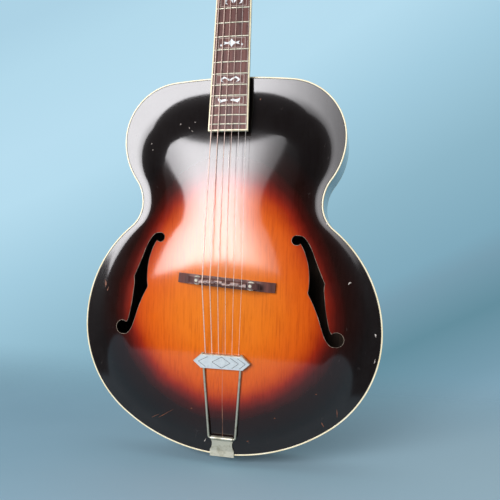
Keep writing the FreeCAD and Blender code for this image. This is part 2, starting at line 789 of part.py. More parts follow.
shaft_ups = [0, nut_up + nut_length]
shaft = Part.makeLoft([half_oval(board_half_width(up), board_thickness, shaft_depth(up),
                                 up) for up in shaft_ups], True)
extension_half = board_half_width(0) - 2 * size("board_binding")
extension = block(-extension_half, extension_half, board_thickness, 2 * size("board_front"),
                  -size("neck_extension_length"), overrun / 4)
body_space = block(-wide, wide, -glue_gap, rim_depth + overrun, -body_length, glue_gap)
extension = placed(extension, neck_in_body).cut(body_space)
extension = extension.cut(arch_face(top_rise, -size("extension_gap")).extrude(Vector(0, rim_depth, 0)))
shaft = placed(shaft, neck_in_body).cut(body_space).fuse(extension)

# Heel: half ovals stacked towards the back, each shorter and narrower than the last
foot_level = rim_depth - size("heel_cap_thickness")
heel_start = -size("neck_depth_body") / 3
neck_half = board_half_width(0)
foot_half, foot_length = size("heel_foot_half_width"), size("heel_foot_length")
heel_root_length = 3 * neck_half


def heel_section(depth_share, width_share, length_share):
    """One half oval of the heel, lying flat against the body's edge."""
    level = heel_start + depth_share * (foot_level - heel_start)
    half = foot_half + width_share * (neck_half - foot_half)
    length = foot_length + length_share * (heel_root_length - foot_length)
    return placed(half_oval(half, 0, length, 0), shift(0, level, glue_gap, Vector(1, 0, 0), 90))


HEEL_SHARES = ((0.0, 0.86, 1.0), (0.1, 0.66, 0.66), (0.2, 0.46, 0.38), (0.36, 0.28, 0.18),
               (0.62, 0.12, 0.06), (1.0, 0.0, 0.0))
heel = Part.makeLoft([heel_section(*shares) for shares in HEEL_SHARES], True)

# Head: a plain tapered blade with a low crown, leaning back from the nut
head_length = size("head_length")
low_half, top_half = size("head_half_width_low"), size("head_half_width_top")
flare = size("head_flare_length")
FLARE_SHARES = ((0.0, 0.0), (0.14, 0.36), (0.8, 0.82), (1.0, 1.15))


def head_outline(level, depth):
    """The head as a solid: flared sides, straight taper and a low arched top."""
    nut_half = size("nut_width") / 2
    edges = []
    for side in (1, -1):
        points = [Vector(side * (nut_half + (low_half - nut_half) * out), level, flare * up) for out,
                  up in FLARE_SHARES]
        curve = Part.BSplineCurve()
        curve.interpolate(points)
        edges.append(curve.toShape())
        edges.append(Part.LineSegment(points[-1], Vector(side * top_half, level, head_length)).toShape())
    crest = [Vector(-top_half, level, head_length), Vector(0, level, head_length + size("head_crown")),
             Vector(top_half, level, head_length)]
    edges.append(Part.Arc(*crest).toShape())
    edges.append(Part.LineSegment(Vector(-nut_half, level, 0), Vector(nut_half, level, 0)).toShape())
    return Part.Face(Part.Wire(Part.__sortEdges__(edges))).extrude(Vector(0, depth, 0))


rod_front = size("rod_front")
rod_radius = size("rod_radius")
pocket_half = size("rod_pocket_width") / 2
pocket_low = nut_up + 2 * nut_length
pocket = block(-pocket_half, pocket_half, 0, rod_front + pocket_half, pocket_low,
               pocket_low + size("rod_pocket_length"))
rod_low = size("tenon_depth")
channel = rod(Vector(0, rod_front, rod_low), Vector(0, rod_front, pocket_low + overrun),
              size("rod_channel_width") / 2)
pocket, channel = placed(pocket, neck_in_body), placed(channel, neck_in_body)

post_spots = []
for string in range(1, 7):
    side = 1 if string <= 3 else -1
    post_spots.append((side, side * size("post_out"), tuner_ups[string - 1 if side > 0 else 6 - string]))
post_holes = [placed(rod(Vector(x, -overrun, up), Vector(x, head_thickness + overrun, up),
                         size("bushing_radius")),
                     head_in_body) for _, x, up in post_spots]
head_blade = placed(head_outline(0, head_thickness), head_in_body)
head_holes = [placed(hole, head_in_body) for hole in screw_holes(head_screws)]
neck = shaft.fuse(heel).fuse(tenon(0)).fuse(head_blade).cut(pocket).cut(channel).cut([*post_holes,
                                                                                      *head_holes])
shaped("neck", neck.removeSplitter(), body_frame)

cap = Part.Face(half_oval(foot_half, 0, foot_length, 0)).extrude(Vector(0, 0, -size("heel_cap_thickness")))
shaped("heel_cap", placed(cap, shift(0, foot_level, glue_gap, Vector(1, 0, 0), 90)), body_frame)

overlay_thickness = size("overlay_thickness")
overlay_low = nut_length / 8
overlay = head_outline(-overlay_thickness, overlay_thickness)
overlay = overlay.cut(block(-low_half, low_half, -overrun, overrun, -overrun, overlay_low))
shaped("headstock_overlay", placed(overlay, head_in_body).cut([pocket, *post_holes, *head_holes]),
       body_frame)

# Truss rod, its hex nut and the cover over them
nut_rest_share, nut_place_share = 1.5, 1.3
rod_top = pocket_low + nut_rest_share * size("rod_nut_length")
truss = rod(Vector(0, rod_front, rod_low + rod_radius), Vector(0, rod_front, rod_top), rod_radius)
shaped("truss_rod", truss, neck_frame)
rod_nut = document.addObject("PartDesign::Body", "truss_rod_nut")
hexagon = [("sizes.rod_nut_across / 2", "sizes.rod_nut_across / sqrt(12)"),
           ("0", "sizes.rod_nut_across / sqrt(3)"),
           ("-sizes.rod_nut_across / 2", "sizes.rod_nut_across / sqrt(12)"),
           ("-sizes.rod_nut_across / 2", "-sizes.rod_nut_across / sqrt(12)"),
           ("0", "-sizes.rod_nut_across / sqrt(3)"),
           ("sizes.rod_nut_across / 2", "-sizes.rod_nut_across / sqrt(12)")]
padded(rod_nut, "hex_pad", corner_sketch(rod_nut, "hexagon", "XY_Plane", hexagon), "sizes.rod_nut_length")
document.recompute()
hex_bore = circle_sketch(rod_nut, "hex_bore", "XY_Plane",
                         [("0", "0", "sizes.rod_radius + sizes.post_running_gap")])
pocketed(rod_nut, "hex_bore_cut", hex_bore, "4 * sizes.rod_nut_length", midplane=True)
node(rod_nut, "truss_rod_nut",
     neck_frame.multiply(shift(0, rod_front, rod_top - nut_place_share * size("rod_nut_length"))))

cover = document.addObject("PartDesign::Body", "truss_rod_cover")
COVER_SHARES = ((1.0, 0.0), (0.9, 0.55), (0.45, 0.9))
cover_corners = [("sizes.rod_cover_half_width * %g" % out,
                  "sizes.rod_cover_length * %g" % up if up else "0")
                 for out, up in COVER_SHARES]
cover_corners.append(("0", "sizes.rod_cover_length"))
cover_corners += [("-sizes.rod_cover_half_width * %g" % out,
                   "sizes.rod_cover_length * %g" % up if up else "0")
                  for out, up in reversed(COVER_SHARES)]
padded(cover, "cover_pad", corner_sketch(cover, "cover_outline", "XZ_Plane", cover_corners),
       "sizes.rod_cover_thickness")
document.recompute()
cover_holes = circle_sketch(cover, "cover_holes", "XZ_Plane", [
    ("sizes.rod_cover_half_width * %g" % out if out else "0", "sizes.rod_cover_length * %g" % up,
     "sizes.screw_shank_radius") for out, up in COVER_SCREW_SHARES])
pocketed(cover, "cover_holes_cut", cover_holes, "4 * sizes.rod_cover_thickness", midplane=True)
cover_in_head = shift(0, -overlay_thickness, cover_low)
node(cover, "truss_rod_cover", head_frame.multiply(cover_in_head))

# Fingerboard: rosewood, crowned across, slotted for the frets and let in for the pearl
board_radius = size("board_radius")
board_binding = size("board_binding")
crown = Part.makeCylinder(board_radius, size("board_length") + 2 * overrun,
                          Vector(0, board_radius, board_low - overrun))


def board_prism(inset, depth):
    """The board's tapered outline, moved in at its sides and at its body end."""
    low, high = board_low + inset, nut_up
    low_x, high_x = board_half_width(low) - inset, board_half_width(high) - inset
    points = [Vector(-low_x, -overrun, low), Vector(low_x, -overrun, low),
              Vector(high_x, -overrun, high), Vector(-high_x, -overrun, high)]
    return prism(points, Vector(0, overrun + depth, 0))


fret_ups = [nut_up - fret_distance(fret) for fret in range(int(size("fret_count")) + 1)]
slot_half = size("tang_width") / 2 + size("slot_clearance")
side_drop = (size("board_end_width") / 2) ** 2 / (2 * board_radius)
slot_floor = size("tang_depth") + side_drop + size("slot_clearance")
slots = [block(-wide, wide, -overrun, slot_floor, up - slot_half, up + slot_half) for up in fret_ups[1:]]

# Pearl: a motif in a thin frame between two frets, in shares of the frame's half sizes
LOZENGE_SHARES = ((0, 0.82), (0.13, 0.34), (0.3, 0.13), (0.6, 0.32), (0.5, 0), (0.6, -0.32), (0.3, -0.13),
                  (0.13, -0.34), (0, -0.82), (-0.13, -0.34), (-0.3, -0.13), (-0.6, -0.32), (-0.5, 0),
                  (-0.6, 0.32),
                  (-0.3, 0.13), (-0.13, 0.34))
BUD_SHARES = ((0.76, -0.12), (0.84, -0.38), (0.76, -0.64), (0.68, -0.38))
SCROLL_SHARES = ((0.03, 0.02), (0.2, 0.3), (0.4, 0.62), (0.6, 0.3), (0.7, -0.1), (0.62, -0.5),
                 (0.42, -0.66),
                 (0.56, -0.3), (0.52, 0.05), (0.36, 0.22), (0.2, -0.02), (0.1, -0.36), (0.03, -0.44))
LEAF_SHARES = ((0.08, 0.06), (0.26, 0.4), (0.5, 0.2), (0.78, 0.6), (0.74, 0.0), (0.6, -0.62), (0.44, -0.3),
               (0.24, -0.2))
MOTIFS = {3: "scroll", 5: "lozenge", 7: "leaf", 9: "scroll", 12: "lozenge", 15: "scroll", 17: "leaf"}
frame_width_share, frame_height_share = 0.8, 0.39
inlay_depth = size("inlay_depth")


def inlay_prism(shares, half_w, half_z, middle, side):
    points = [Vector(side * x * half_w, -overrun, middle + z * half_z) for x, z in shares]
    return prism(points, Vector(0, overrun + inlay_depth, 0))


octave_fret = 12
dot_spread_share, dot_inside_share = 3, 0.7
pearls, frames, dots = [], [], []
for fret in INLAY_FRETS:
    low, high = fret_ups[fret], fret_ups[fret - 1]
    middle = (low + high) / 2
    half_w = frame_width_share * (board_half_width(middle) - board_binding)
    half_z = frame_height_share * (high - low)
    line = size("frame_line")
    outer = block(-half_w, half_w, -overrun, inlay_depth, middle - half_z, middle + half_z)
    inner = block(line - half_w, half_w - line, -2 * overrun, 2 * inlay_depth, middle - half_z + line,
                  middle + half_z - line)
    frames.append(outer.cut(inner))
    if MOTIFS[fret] == "lozenge":
        pearls.append(inlay_prism(LOZENGE_SHARES, half_w, half_z, middle, 1))
        pearls += [inlay_prism(BUD_SHARES, half_w, half_z, middle, side) for side in (1, -1)]
    else:
        shares = SCROLL_SHARES if MOTIFS[fret] == "scroll" else LEAF_SHARES
        pearls += [inlay_prism(shares, half_w, half_z, middle, side) for side in (1, -1)]
    spread = size("side_dot_radius") * dot_spread_share if fret == octave_fret else 0
    for offset in sorted({-spread, spread}):
        spot = middle + offset
        edge_x = -board_half_width(spot)
        dots.append(rod(Vector(edge_x - overrun, board_thickness / 2, spot),
                        Vector(edge_x + board_binding * dot_inside_share, board_thickness / 2, spot),
                        size("side_dot_radius")))

core = board_prism(board_binding, board_thickness).common(crown)
shaped("fingerboard", core.cut([*slots, *pearls, *frames]), neck_frame)
shaped("fret_inlays", Part.makeCompound([piece.common(crown) for piece in pearls]), neck_frame)
shaped("inlay_frames", Part.makeCompound([piece.common(crown) for piece in frames]), neck_frame)
edge_blank = board_prism(0, board_thickness).common(crown)
edging = edge_blank.cut(board_prism(board_binding, board_thickness + overrun))
shaped("fingerboard_binding", edging.cut(dots), neck_frame)
shaped("side_dots", Part.makeCompound([dot.common(edge_blank) for dot in dots]), neck_frame)


def fret_wire(up):
    """One fret: a low crown over a thin tang, bent round the board's crown."""
    half, height = size("fret_width") / 2, size("fret_height")
    tang_half, tang = size("tang_width") / 2, size("tang_depth")
    turn = math.degrees(math.asin((board_half_width(up) - board_binding - clearance) / board_radius))
    bead = Part.Arc(Vector(0, 0, up - half), Vector(0, -height, up), Vector(0, 0, up + half)).toShape()
    rest = Part.makePolygon([Vector(0, 0, up + half), Vector(0, 0, up + tang_half),
                             Vector(0, tang, up + tang_half),
                             Vector(0, tang, up - tang_half), Vector(0, 0, up - tang_half),
                             Vector(0, 0, up - half)])
    face = Part.Face(Part.Wire([bead, *rest.Edges]))
    axis_point = Vector(0, board_radius, up)
    face.rotate(axis_point, Vector(0, 0, 1), -turn)
    return face.revolve(axis_point, Vector(0, 0, 1), 2 * turn)


shaped("frets", Part.makeCompound([fret_wire(up) for up in fret_ups[1:]]), neck_frame)

# Strings: nut, saddle and tailpiece points of each, first string first
string_points = []
half_bridge = size("string_spread_bridge") / 2
waist_level_share = 0.4
for index, radius in enumerate(STRING_RADII):
    share = 1 - 2 * index / (len(STRING_RADII) - 1)
    nut_x = share * size("string_spread_nut") / 2
    nut_y = nut_x * nut_x / (2 * board_radius) - size("string_rise_nut") - radius
    at_nut = neck_in_body.multVec(Vector(nut_x, nut_y, nut_up))
    side, post_x, post_up = post_spots[index]
    post_side = Vector(post_x - side * (size("post_radius") + radius),
                       -size("post_front") * waist_level_share, post_up)
    at_post = head_in_body.multVec(post_side)
    saddle_x = share * half_bridge
    crown_rise = (half_bridge ** 2 - saddle_x ** 2) / (2 * board_radius)
    saddle_z = SADDLE_SHIFT_SHARES[index] * size("saddle_width") - size("saddle_ridge_width") / 2
    saddle_y = -size("saddle_front") - crown_rise - radius - size("string_lift")
    at_saddle = bridge_in_body.multVec(Vector(saddle_x, saddle_y, saddle_z))
    tail_x = share * size("string_spread_tail") / 2
    bar_top = size("crossbar_up") + size("crossbar_height") / 2
    at_bar = trapeze_in_body.multVec(Vector(tail_x, 0, bar_top))
    ball_up = size("crossbar_up") + size("ball_pocket_height") / 2 - size("ball_radius") - clearance
    at_ball = trapeze_in_body.multVec(Vector(tail_x, 0, ball_up + size("ball_radius")))
    string_points.append((radius, at_post, at_nut, at_saddle, at_bar, at_ball, tail_x, ball_up))


def shortened(start, end, by):
    """The point on the way from start to end that lies short of end."""
    way = end.sub(start)
    return start.add(way.multiply((way.Length - by) / way.Length))


speaking, behind, heads = [], [], []
post_radius = size("post_radius")
for radius, at_post, at_nut, at_saddle, at_bar, at_ball, _, _ in string_points:
    speaking.append(rod(shortened(at_saddle, at_nut, clearance), at_saddle, radius))
    lower = rod(shortened(at_bar, at_saddle, clearance + radius / 2), at_bar, radius)
    behind.append(lower.multiFuse([Part.makeSphere(radius, at_bar), rod(at_bar, at_ball, radius)]))
    touch = math.sqrt((post_radius + 3 * radius) ** 2 - (post_radius + radius) ** 2)
    heads.append(rod(at_nut, shortened(at_nut, at_post, touch + 2 * clearance), radius))
shaped("strings_speaking", Part.makeCompound(speaking), body_frame)
shaped("strings_behind_bridge", Part.makeCompound(behind), body_frame)
shaped("strings_head", Part.makeCompound(heads), body_frame)

# Nut: bone, with a slot for each string that falls away towards the head
nut_blank = document.addObject("Part::Box", "nut_blank")
nut_blank.setExpression("Length", "sizes.nut_width")
nut_blank.setExpression("Width", "sizes.board_thickness + sizes.nut_front")
nut_blank.setExpression("Height", "sizes.nut_length")
nut_blank.Placement = shift(-size("nut_width") / 2, -size("nut_front"), nut_up)
nut_slots = []
to_neck = neck_in_body.inverse()
for radius, at_post, at_nut, _, _, _, _, _ in string_points:
    start, end = to_neck.multVec(at_nut), to_neck.multVec(at_post)
    half = radius + clearance
    slot = block(-half, half, -overrun, half, -nut_length, 2 * nut_length)
    nut_slots.append(placed(slot, Placement(start, Rotation(Vector(0, 0, 1), end.sub(start)))))
nut_cutter = feature("nut_slots", Part.makeCompound(nut_slots))
nut = document.addObject("Part::Cut", "nut")
nut.Base = nut_blank
nut.Tool = nut_cutter
node(nut, "nut", neck_frame)

# Tuning machines: three a side on a plate let onto the back of the head
post_gap = size("post_running_gap")
gear_radius, worm_radius, key_radius = size("gear_radius"), size("worm_radius"), size("key_radius")
gear_level = plate_back + size("gear_lift")
worm_level = gear_level + size("gear_thickness") / 2
worm_rise = gear_radius + worm_radius + size("mesh_gap")
ear_out = size("worm_length") / 2 + size("ear_gap")
ear_half = worm_rise - gear_radius + clearance


def tuner_plate(side):
    """One plate with its three bores, three pairs of ears and four screw holes."""
    half_width = size("tuner_plate_width") / 2
    low, high = tuner_ups[0] - size("tuner_plate_low"), tuner_ups[-1] + size("tuner_plate_high")
    plate = block(-half_width, half_width, head_thickness, plate_back, low, high)
    ears, bores = [], []
    for up in tuner_ups:
        bores.append(rod(Vector(0, 0, up), Vector(0, 2 * plate_back, up), post_radius + post_gap))
        worm_up = up + worm_rise
        for out in (-ear_out - size("ear_thickness"), ear_out):
            far = out + size("ear_thickness")
            foot = block(out, far, plate_back - clearance, worm_level, worm_up - ear_half,
                         worm_up + ear_half)
            ears += [foot, rod(Vector(out, worm_level, worm_up), Vector(far, worm_level, worm_up),
                               ear_half)]
        bores.append(rod(Vector(-wide, worm_level, worm_up), Vector(wide, worm_level, worm_up),
                         key_radius + post_gap))
    solid = joined([plate, *ears]).cut(bores)
    solid = placed(solid, shift(side * size("post_out"), 0, 0))
    return solid.cut(screw_holes(head_screws))


shaped("tuner_plate_bass", tuner_plate(-1), head_frame)
shaped("tuner_plate_treble", tuner_plate(1), head_frame)

face_up = shift(0, 0, 0, Vector(1, 0, 0), 90)
post_frames = [head_frame.multiply(shift(x, 0, up)).multiply(face_up) for _, x, up in post_spots]
bushing = turned("bushing", [
    ("sizes.post_radius + sizes.post_running_gap", "-sizes.bushing_flange_radius"),
    ("sizes.bushing_radius - sizes.glue_gap", "-sizes.bushing_flange_radius"),
    ("sizes.bushing_radius - sizes.glue_gap", "sizes.overlay_thickness"),
    ("sizes.bushing_flange_radius", "sizes.overlay_thickness"),
    ("sizes.bushing_flange_radius", "sizes.overlay_thickness + sizes.bushing_flange_height / 2"),
    ("sizes.bushing_radius", "sizes.overlay_thickness + sizes.bushing_flange_height"),
    ("sizes.post_radius + sizes.post_running_gap",
     "sizes.overlay_thickness + sizes.bushing_flange_height")])
copies("tuner_bushings", bushing, post_frames)

GEAR_BACK = "(-sizes.head_thickness - sizes.tuner_plate_thickness - sizes.gear_lift - sizes.gear_thickness)"
GEAR_FRONT = "(-sizes.head_thickness - sizes.tuner_plate_thickness - sizes.gear_lift)"
string_post = turned("string_post", [
    ("0", GEAR_BACK), ("sizes.gear_radius", GEAR_BACK), ("sizes.gear_radius", GEAR_FRONT),
    ("sizes.post_radius", GEAR_FRONT), ("sizes.post_radius", "sizes.post_front * 0.28"),
    ("sizes.post_radius * 0.93", "sizes.post_front * 0.4"),
    ("sizes.post_radius", "sizes.post_front * 0.62"),
    ("sizes.post_radius", "sizes.post_front * 0.93"), ("sizes.post_radius * 0.7", "sizes.post_front"),
    ("0", "sizes.post_front")])
document.recompute()
string_hole = circle_sketch(string_post, "string_hole", "XZ_Plane",
                            [("0", "sizes.post_front * 0.55", "sizes.post_radius * 0.3")])
pocketed(string_post, "string_hole_cut", string_hole, "4 * sizes.post_radius", midplane=True)
document.recompute()
tooth_gap = circle_sketch(string_post, "tooth_gap", "XY_Plane",
                          [("sizes.gear_radius * 1.03", "0", "sizes.gear_radius * 0.12")])
pocketed(string_post, "tooth_gap_cut", tooth_gap, "4 * sizes.head_thickness", midplane=True)
document.recompute()
teeth = string_post.newObject("PartDesign::PolarPattern", "teeth")
teeth.Originals = [string_post.getObject("tooth_gap_cut")]
teeth.Axis = (tooth_gap, ["N_Axis"])
teeth.Angle = 360.0
teeth.Occurrences = int(size("gear_teeth"))
string_post.Tip = teeth
document.recompute()
for string, frame in enumerate(post_frames, 1):
    shaped("string_post_%d" % string, placed(string_post.Shape, Placement()), frame)

# String coils: three turns of each string round its post, as one close sleeve
COIL_TURNS = 3
coil_level = size("post_front") * waist_level_share
for string, (radius, frame) in enumerate(zip(STRING_RADII, post_frames), 1):
    inner = post_radius + clearance
    half = radius * COIL_TURNS
    points = [Vector(inner, 0, coil_level + half), Vector(inner, 0, coil_level - half)]
    for turn in range(COIL_TURNS):
        low = coil_level - half + 2 * radius * turn
        points += [Vector(inner + 1.3 * radius, 0, low), Vector(inner + 2 * radius, 0, low + radius / 2),
                   Vector(inner + 2 * radius, 0, low + 1.5 * radius)]
    points.append(Vector(inner + 1.3 * radius, 0, coil_level + half))
    sleeve = Part.Face(Part.makePolygon([*points, points[0]]))
    shaped("string_coil_%d" % string, sleeve.revolve(Vector(), Vector(0, 0, 1), 360), frame)


def tuner_key():
    """Worm, shaft, collar and oval button of one key; the shaft runs along +X from the worm's middle."""
    half_worm, thread = size("worm_length") / 2, worm_radius - key_radius
    inner_end = -ear_out - size("ear_thickness")
    button_start = size("head_half_width_top") + size("key_stand_off") - size("post_out")
    turns = int(size("worm_length") / (2 * thread + clearance))
    pitch = size("worm_length") / turns
    points = [Vector(inner_end, 0, 0), Vector(inner_end, key_radius, 0), Vector(-half_worm, key_radius, 0)]
    for turn in range(turns):
        start = -half_worm + pitch * turn
        points += [Vector(start + pitch * 0.3, worm_radius, 0), Vector(start + pitch * 0.6, worm_radius, 0),
                   Vector(start + pitch * 0.95, key_radius, 0)]
    collar = size("key_collar_radius")
    points += [Vector(half_worm, key_radius, 0), Vector(button_start - collar, key_radius, 0),
               Vector(button_start - collar, collar, 0), Vector(button_start, collar, 0),
               Vector(button_start + collar, key_radius, 0), Vector(button_start + collar, 0, 0)]
    stem = Part.Face(Part.makePolygon([*points, points[0]])).revolve(Vector(), Vector(1, 0, 0), 360)
    half_length, half_height = size("button_length") / 2, size("button_height") / 2
    middle = Vector(button_start + half_length, -size("button_thickness") / 2, 0)
    oval = Part.Ellipse(middle.add(Vector(0, 0, half_height)), middle.add(Vector(half_length, 0, 0)),
                        middle)
    button = Part.Face(Part.Wire([oval.toShape()])).extrude(Vector(0, size("button_thickness"), 0))
    button = button.makeFillet(size("button_thickness") * 0.38, button.Edges)
    return stem.fuse(button)


key_shape = tuner_key()
for string, (side, x, up) in enumerate(post_spots, 1):
    turn = 0 if side > 0 else 180
    frame = head_frame.multiply(shift(x, worm_level, up + worm_rise, Vector(0, 1, 0), turn))
    shaped("tuner_key_%d" % string, key_shape, frame)

# Bridge: a base carved to the arch, two studs, two thumbwheels and the saddle they carry
base_half, base_width = size("base_half_length"), size("base_width")
stud_out, stud_radius = size("stud_out"), size("stud_radius")
stud_gap = size("stud_running_gap")
saddle_half, saddle_front = size("saddle_half_length"), size("saddle_front")
saddle_crest = saddle_front + half_bridge ** 2 / (2 * board_radius)
saddle_floor = saddle_crest - size("saddle_height_middle")
wheel_top = saddle_floor - size("wheel_gap")
pad_rise_share, pad_reach_share, relief_share = 0.83, 1.15, 0.35
pad_front = size("top_arch_rise") - glue_gap + size("base_height") * pad_rise_share
end_front = pad_front - size("base_end_height")
crest_front = size("top_arch_rise") + size("base_height")
pad_reach = pad_reach_share * size("thumbwheel_radius")
pad_inner, pad_outer = stud_out - pad_reach, stud_out + pad_reach


def front_curve(marks):
    spline = Part.BSplineCurve()
    spline.interpolate([Vector(x, -front, 0) for x, front in marks])
    return spline.toShape()


END_SLOPE_SHARES = ((0.0, 0.0), (0.3, 0.1), (0.7, 0.62), (1.0, 1.0))
slopes = [[(side * (pad_outer + (base_half - pad_outer) * out), pad_front + (end_front - pad_front) * down)
           for out, down in END_SLOPE_SHARES] for side in (-1, 1)]
base_edges = [front_curve(slopes[0]), front_curve(slopes[1]),
              front_curve([(-pad_inner, pad_front), (0, crest_front), (pad_inner, pad_front)])]
for x_low, x_high in ((-pad_outer, -pad_inner), (pad_inner, pad_outer)):
    base_edges.append(Part.LineSegment(Vector(x_low, -pad_front, 0),
                                       Vector(x_high, -pad_front, 0)).toShape())
base_edges += Part.makePolygon([Vector(-base_half, -end_front, 0), Vector(-base_half, 0, 0),
                                Vector(base_half, 0, 0), Vector(base_half, -end_front, 0)]).Edges
base_profile = Part.Face(Part.Wire(Part.__sortEdges__(base_edges)))
base_profile.translate(Vector(0, 0, -base_width / 2))
base = base_profile.extrude(Vector(0, 0, base_width))
relief_half, relief_rise = size("base_relief_half_length"), size("base_height") * relief_share
arch_low = Vector(0, -size("top_arch_rise") - relief_rise, 0)
relief_edge = Part.Arc(Vector(-relief_half, 0, 0), arch_low, Vector(relief_half, 0, 0)).toShape()
relief_line = Part.LineSegment(Vector(relief_half, 0, 0), Vector(-relief_half, 0, 0)).toShape()
relief = Part.Face(Part.Wire([relief_edge, relief_line]))
relief.translate(Vector(0, 0, -base_width))
relief = relief.extrude(Vector(0, 0, 2 * base_width))
base_seat = placed(in_front_of_top, bridge_in_body.inverse())
stud_back = pad_front - size("stud_sunk")
stud_bars = [rod(Vector(x, -stud_back, 0), Vector(x, -stud_back - size("stud_length"), 0), stud_radius)
             for x in (-stud_out, stud_out)]
shaped("bridge_base", base.cut(base_seat).cut(relief).cut(stud_bars), bridge_frame)
shaped("bridge_posts", Part.makeCompound(stud_bars), bridge_frame)

wheel = turned("wheel", [
    ("sizes.stud_radius + sizes.stud_running_gap", "0"), ("sizes.thumbwheel_radius * 0.94", "0"),
    ("sizes.thumbwheel_radius", "sizes.thumbwheel_height * 0.15"),
    ("sizes.thumbwheel_radius", "sizes.thumbwheel_height * 0.85"),
    ("sizes.thumbwheel_radius * 0.94", "sizes.thumbwheel_height"),
    ("sizes.stud_radius + sizes.stud_running_gap", "sizes.thumbwheel_height")])
document.recompute()
knurl_gap = circle_sketch(wheel, "knurl_gap", "XY_Plane",
                          [("sizes.thumbwheel_radius * 1.03", "0", "sizes.thumbwheel_radius * 0.08")])
pocketed(wheel, "knurl_gap_cut", knurl_gap, "4 * sizes.thumbwheel_height", midplane=True)
document.recompute()
knurls = wheel.newObject("PartDesign::PolarPattern", "knurls")
knurls.Originals = [wheel.getObject("knurl_gap_cut")]
knurls.Axis = (knurl_gap, ["N_Axis"])
knurls.Angle = 360.0
knurls.Occurrences = int(size("thumbwheel_knurls"))
wheel.Tip = knurls
document.recompute()
for label, x in (("thumbwheel_bass", -stud_out), ("thumbwheel_treble", stud_out)):
    place = shift(x, -wheel_top + size("thumbwheel_height"), 0).multiply(face_up)
    shaped(label, placed(wheel.Shape, Placement()), bridge_frame.multiply(place))

SCOOP_SHARES = ((1.0, 0.0), (0.92, 0.32), (0.8, 0.5), (0.68, 0.54), (0.6, 0.56))
shelf_share = SCOOP_SHARES[3][1]
saddle_width = size("saddle_width")
shelf = saddle_floor + size("saddle_height_stud")
ends = []
for side in (1, -1):
    ends.append([Vector(side * saddle_half * out,
                        -saddle_floor - (shelf - saddle_floor) * share / shelf_share, 0)
                 for out, share in SCOOP_SHARES])
saddle_points = [*ends[0], *reversed(ends[1])]
saddle_bed = prism([point.add(Vector(0, 0, -saddle_width / 2)) for point in saddle_points],
                   Vector(0, 0, saddle_width))
saddle_crown = Part.makeCylinder(board_radius, 4 * saddle_width,
                                 Vector(0, board_radius - saddle_crest, -2 * saddle_width))
steps = []
step_width = 2 * half_bridge / (len(STRING_RADII) - 1)
ridge_half = size("saddle_ridge_width") / 2
for index, shift_share in enumerate(SADDLE_SHIFT_SHARES):
    x_high = half_bridge + step_width / 2 - index * step_width
    ridge = shift_share * saddle_width
    top = -saddle_crest - clearance
    points = [Vector(x_high - step_width, -shelf + clearance, -saddle_width / 2),
              Vector(x_high - step_width, -shelf + clearance, saddle_width / 2),
              Vector(x_high - step_width, top, ridge + ridge_half),
              Vector(x_high - step_width, top, ridge - ridge_half)]
    steps.append(prism(points, Vector(step_width, 0, 0)).common(saddle_crown))
saddle = joined([saddle_bed, *steps])
saddle_bores = [rod(Vector(x, 0, 0), Vector(x, -2 * saddle_crest, 0), stud_radius + stud_gap)
                for x in (-stud_out, stud_out)]
shaped("bridge_saddle", saddle.cut(saddle_bores), bridge_frame)

# Tail bracket: bent sheet over the tail rim, its front edge rolled into the hinge's knuckle
sheet_thickness, half_width = size("bracket_thickness"), size("bracket_half_width")
hinge_front, hinge_down = size("hinge_front"), size("hinge_down")
knuckle_radius = size("knuckle_radius")
sheet_inner = body_length + size("bracket_stand_off")
sheet_outer = sheet_inner + sheet_thickness
nose_down = body_length - size("bracket_roll")
tail_back = size("bracket_tail_length")
over_rim = size("bracket_over_rim")
section = [(-hinge_front + sheet_thickness * 1.1, -hinge_down - knuckle_radius * 0.83),
           (-over_rim - sheet_thickness, -nose_down), (-over_rim - sheet_thickness, -sheet_outer),
           (tail_back, -sheet_outer), (tail_back, -sheet_inner), (-over_rim, -sheet_inner),
           (-over_rim, -nose_down),
           (-hinge_front + sheet_thickness * 2.1, -hinge_down - knuckle_radius * 0.76)]
bent = prism([Vector(-half_width, y, z) for y, z in section], Vector(2 * half_width, 0, 0))
tail_corners = [edge for edge in bent.Edges
                if abs(edge.Length - sheet_thickness) < glue_gap and edge.CenterOfMass.y > tail_back - glue_gap]
bent = bent.makeFillet(half_width * 0.7, tail_corners)
knuckle_half = size("knuckle_half_width")
hinge_start = Vector(-knuckle_half, -hinge_front, -hinge_down)
hinge_end = Vector(knuckle_half, -hinge_front, -hinge_down)
knuckle = rod(hinge_start, hinge_end, knuckle_radius)
scoop_radius, waist_half = size("bracket_scoop_radius"), size("bracket_waist_half_width")
scoop_down = (hinge_down + nose_down) / 2
scoops = [rod(Vector(side * (waist_half + scoop_radius), -rim_depth, -scoop_down),
              Vector(side * (waist_half + scoop_radius), rim_depth / 8, -scoop_down),
              scoop_radius) for side in (-1, 1)]
wire_radius = size("trapeze_wire_radius")
knuckle_bore = rod(hinge_start.add(Vector(-wide, 0, 0)), hinge_end.add(Vector(wide, 0, 0)),
                   wire_radius + size("hinge_running_gap"))
bracket = bent.cut(scoops).fuse(knuckle).cut([knuckle_bore, *tail_holes])
shaped("tail_bracket", bracket, body_frame)

